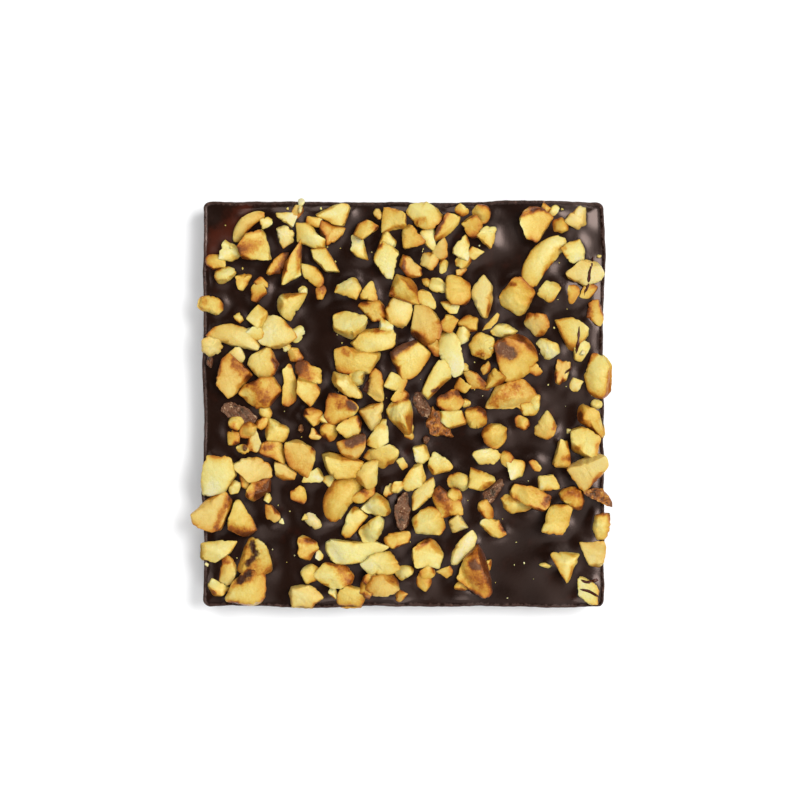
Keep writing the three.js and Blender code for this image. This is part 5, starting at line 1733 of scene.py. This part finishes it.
def chocolate_group(groups):
    """The colour and roughness of dark chocolate, for the slab, the threads and what wets the nuts."""
    group, given, result = new_group(
        "Chocolate finish",
        [("Scuff", "NodeSocketFloat"), ("Warmth", "NodeSocketFloat")],
        [("Color", "NodeSocketColor"), ("Roughness", "NodeSocketFloat"), ("Height", "NodeSocketFloat")],
    )
    cloud = mottle(group, groups, CHOCOLATE_CLOUD)
    patch = mottle(group, groups, CHOCOLATE_PATCH)
    grain = mottle(group, groups, CHOCOLATE_GRAIN)
    depth = stretched(group, cloud, WHOLE)
    colour = mixed(group, depth, shader_colour(CHOCOLATE_DEEP), shader_colour(CHOCOLATE_BROWN))
    warm = stepped(group, with_share(group, given.outputs["Warmth"], WARM_UNEVEN, patch), WARM_SPAN)
    colour = mixed(group, warm, colour, shader_colour(CHOCOLATE_WARM))
    scuff = with_share(group, given.outputs["Scuff"], SCUFF_UNEVEN, grain)
    worn = stepped(group, scuff, SCUFF_SPAN)
    colour = mixed(group, worn, colour, shader_colour(CHOCOLATE_SCUFFED))
    chipped = product(group, stepped(group, grain, CHIPPED_GRAINS), stepped(group, scuff, CHIPPED_SPAN))
    colour = mixed(group, chipped, colour, shader_colour(CHOCOLATE_CHIPPED))
    rough = with_share(group, CHOCOLATE_ROUGHNESS, CHOCOLATE_ROUGH_GRAIN, grain)
    rough = with_share(group, rough, CHOCOLATE_ROUGH_CLOUD, cloud)
    rough = with_share(group, rough, CHOCOLATE_ROUGH_SCUFF, worn)
    connect(group, result, {"Color": colour, "Roughness": rough, "Height": grain})
    return group


def new_material(name):
    material = bpy.data.materials.new(name)
    material.use_nodes = True
    tree = material.node_tree
    return material, tree, tree.nodes["Principled BSDF"]


def bumps(tree, height, relief):
    depth, strength = relief
    inputs = {"Height": height, "Distance": depth * MM, "Strength": strength}
    return add(tree, "ShaderNodeBump", inputs).outputs["Normal"]


def dress(tree, shader, colour, roughness, normal, gloss):
    """Gives a finish to a material's shader."""
    strength, tint = gloss
    connect(tree, shader, {"Base Color": colour, "Roughness": roughness, "Normal": normal})
    connect(tree, shader, {"Specular IOR Level": strength, "Specular Tint": tint})


def dark_chocolate(groups):
    material, tree, shader = new_material("dark chocolate")
    inputs = {"Scuff": attribute(tree, "rim"), "Warmth": attribute(tree, "warm")}
    finish = add(tree, "ShaderNodeGroup", inputs, node_tree=groups["chocolate"]).outputs
    normal = bumps(tree, finish["Height"], CHOCOLATE_RELIEF)
    dress(tree, shader, finish["Color"], finish["Roughness"], normal, CHOCOLATE_GLOSS)
    return material


def skin_group(groups):
    """The colour and height of rough hazelnut skin, with pale specks and painted glints, for the flakes and
    for what is left of it on nuts.
    """
    group, _, result = new_group(
        "Hazelnut skin finish", [], [("Color", "NodeSocketColor"), ("Height", "NodeSocketFloat")],
    )
    cloud = mottle(group, groups, SKIN_CLOUD)
    grain = mottle(group, groups, SKIN_GRAIN)
    tone = with_share(group, cloud, SKIN_GRAIN_SHARE, grain)
    colour = ramp(group, stretched(group, tone, SKIN_TONES), SKIN_COLOURS)
    connect(group, result, {"Color": colour, "Height": tone})
    return group


def ragged(tree, depth, blotch, grain, span):
    """A patch with an uneven border, from 0 outside it to 1 well inside."""
    depth = with_share(tree, depth, PATCH_BLOTCH, blotch)
    depth = with_share(tree, depth, PATCH_GRAIN, grain)
    return stepped(tree, depth, span)


def tinted(tree, colour, tint, roast, tints, roasts, share):
    """A colour turned some way to a tint, on the pieces and over the roasts that have it."""
    chosen = stepped(tree, attribute(tree, "tint"), tints, share)
    return mixed(tree, product(tree, chosen, stepped(tree, roast, roasts)), colour, shader_colour(tint))


def roasted_hazelnut(groups):
    material, tree, shader = new_material("roasted hazelnut")
    cloud = mottle(tree, groups, NUT_CLOUD)
    blotch = mottle(tree, groups, NUT_BLOTCH)
    grain = mottle(tree, groups, NUT_GRAIN)
    roast = attribute(tree, "roast")
    for share, value in zip(NUT_MOTTLE, (cloud, blotch, grain)):
        roast = with_share(tree, roast, share, value)
    browned = ragged(tree, attribute(tree, "brown"), blotch, grain, BROWNED_SPAN)
    roast = with_share(tree, roast, with_share(tree, BROWNED_ROAST, BROWNED_UNEVEN, blotch), browned)
    halo = stepped(tree, attribute(tree, "skin"), HALO_SPAN, HALO_ROAST)
    roast = math_node(tree, "ADD", roast, halo)
    colour = ramp(tree, stretched(tree, roast, NUT_ROASTS), ROAST_COLOURS)
    colour = tinted(tree, colour, GREENISH, roast, GREEN_TINTS, GREEN_ROASTS, GREEN_SHARE)
    colour = tinted(tree, colour, BEIGE, roast, BEIGE_TINTS, BEIGE_ROASTS, BEIGE_SHARE)
    # Painted glints of pale sugar in the browned patches
    painted_glint = product(tree, stepped(tree, grain, SUGAR_GLINT_GRAINS, SUGAR_GLINT_SHARE), browned)
    colour = mixed(tree, painted_glint, colour, shader_colour(SUGAR_AND_GLINT))

    skin = add(tree, "ShaderNodeGroup", node_tree=groups["skin"]).outputs
    skinned = ragged(tree, attribute(tree, "skin"), blotch, grain, SKINNED_SPAN)
    smooth_skin = mixed(tree, SKIN_EVENNESS, skin["Color"], shader_colour(SKIN_BROWN))
    colour = mixed(tree, skinned, colour, smooth_skin)

    smeared = stepped(tree, with_share(tree, attribute(tree, "smear"), SMEAR_UNEVEN, blotch), SMEAR_SPAN)
    # Chocolate colour at the feet of the nuts: wet chocolate, and painted contact shade where they meet it
    wet_foot_and_shade = stepped(tree, with_share(tree, attribute(tree, "above"), WET_UNEVEN, blotch), WET_AND_SHADE_LEVELS)
    wet = math_node(tree, "MAXIMUM", wet_foot_and_shade, smeared)
    chocolate = add(tree, "ShaderNodeGroup", {"Warmth": smeared}, node_tree=groups["chocolate"]).outputs
    colour = mixed(tree, wet, colour, chocolate["Color"])

    dry_rough = with_share(tree, NUT_ROUGHNESS, NUT_ROUGH_GRAIN, grain)
    rough = stretched(tree, wet, (0.0, 1.0), (dry_rough, chocolate["Roughness"]))
    normal = bumps(tree, with_share(tree, grain, skin["Height"], skinned), NUT_RELIEF)
    dress(tree, shader, colour, rough, normal, NUT_GLOSS)
    connect(tree, shader, {"Subsurface Weight": NUT_GLOW, "Subsurface Radius": NUT_GLOW_REACH})
    connect(tree, shader, {"Subsurface Scale": NUT_GLOW_DEPTH * MM})
    return material


def hazelnut_skin(groups):
    material, tree, shader = new_material("hazelnut skin")
    finish = add(tree, "ShaderNodeGroup", node_tree=groups["skin"]).outputs
    height = finish["Height"]
    thin = stepped(tree, with_share(tree, attribute(tree, "roast"), AMBER_UNEVEN, height), AMBER_SPAN)
    amber = ramp(tree, stretched(tree, height, SKIN_TONES), AMBER_COLOURS)
    colour = mixed(tree, thin, finish["Color"], amber)
    rough = with_share(tree, SKIN_ROUGHNESS, SKIN_ROUGH_TONE, height)
    dress(tree, shader, colour, rough, bumps(tree, height, SKIN_RELIEF), SKIN_GLOSS)
    return material


def pale_floor(groups):
    material, tree, shader = new_material("pale floor")
    share = stretched(tree, mottle(tree, groups, FLOOR_CLOUD), WHOLE)
    white = shader_colour(FLOOR_WHITE, FLOOR_LEVEL)
    shade = shader_colour(FLOOR_SHADE, FLOOR_LEVEL)
    connect(tree, shader, {"Base Color": mixed(tree, share, white, shade), "Roughness": FLOOR_ROUGHNESS})
    return material


# The studio


def floor(material):
    half = FLOOR_SIDE / 2
    corners = np.array([(-half, -half, 0), (half, -half, 0), (half, half, 0), (-half, half, 0)], float)
    piece = mesh_piece("floor", corners, [(0, 1, 2, 3)], material, {})


def lamps():
    for name, (round_angle, up_angle, distance, side, watts) in LAMPS.items():
        lamp = bpy.data.lights.new(name, "AREA")
        lamp.energy = watts
        lamp.size = side * MM
        piece = bpy.data.objects.new(name, lamp)
        across = math.radians(round_angle)
        up = math.radians(up_angle)
        way = Vector((math.cos(across) * math.cos(up), math.sin(across) * math.cos(up), math.sin(up)))
        piece.location = way * distance * MM
        piece.rotation_euler = way.to_track_quat("Z", "Y").to_euler()
        bpy.context.scene.collection.objects.link(piece)


def world():
    scene = bpy.context.scene
    scene.world = bpy.data.worlds.new("studio")
    scene.world.use_nodes = True
    tree = scene.world.node_tree
    connect(tree, tree.nodes["Background"], {"Color": (1, 1, 1, 1), "Strength": WORLD_LIGHT})
    scene.view_settings.view_transform = "Standard"


def camera():
    lens = bpy.data.cameras.new("camera")
    lens.lens = CAMERA_LENS
    lens.sensor_width = CAMERA_SENSOR
    piece = bpy.data.objects.new("camera", lens)
    piece.location = (CAMERA_X * MM, CAMERA_Y * MM, CAMERA_HEIGHT * MM)
    bpy.context.scene.collection.objects.link(piece)
    bpy.context.scene.camera = piece


def stand_for_bar(piece):
    """The piece moves with the bar and takes its solid's place."""
    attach(piece, "root")
    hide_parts(BAR_NODE)


def main():
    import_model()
    camera()
    lamps()
    world()
    groups = {"mottle": mottle_group()}
    groups["chocolate"] = chocolate_group(groups)
    groups["skin"] = skin_group(groups)
    chocolate = dark_chocolate(groups)
    nut = roasted_hazelnut(groups)
    skin = hazelnut_skin(groups)
    floor(pale_floor(groups))

    chance = np.random.default_rng(LOOK_SEED)
    heaps = chopped_nuts(chance)
    nuts = [heap.build(name, skin if name == "skin_flakes" else nut) for name, heap in heaps.items()]
    slab = chocolate_slab(heaps, chocolate, chance)
    bpy.context.view_layer.update()
    bar = [slab] + nuts
    threads = chocolate_threads(bar, chocolate, chance)
    pale = crumbs("pale_crumbs", PALE_CRUMBS, PALE_ROAST, bar, nut, chance, FINE_CRUMBS)
    brown = crumbs("brown_crumbs", BROWN_CRUMBS, BROWN_ROAST, bar, skin, chance)

    for piece in (slab, threads):
        stand_for_bar(piece)
    for piece in nuts + [pale, brown]:
        stand_for_bar(piece)


main()
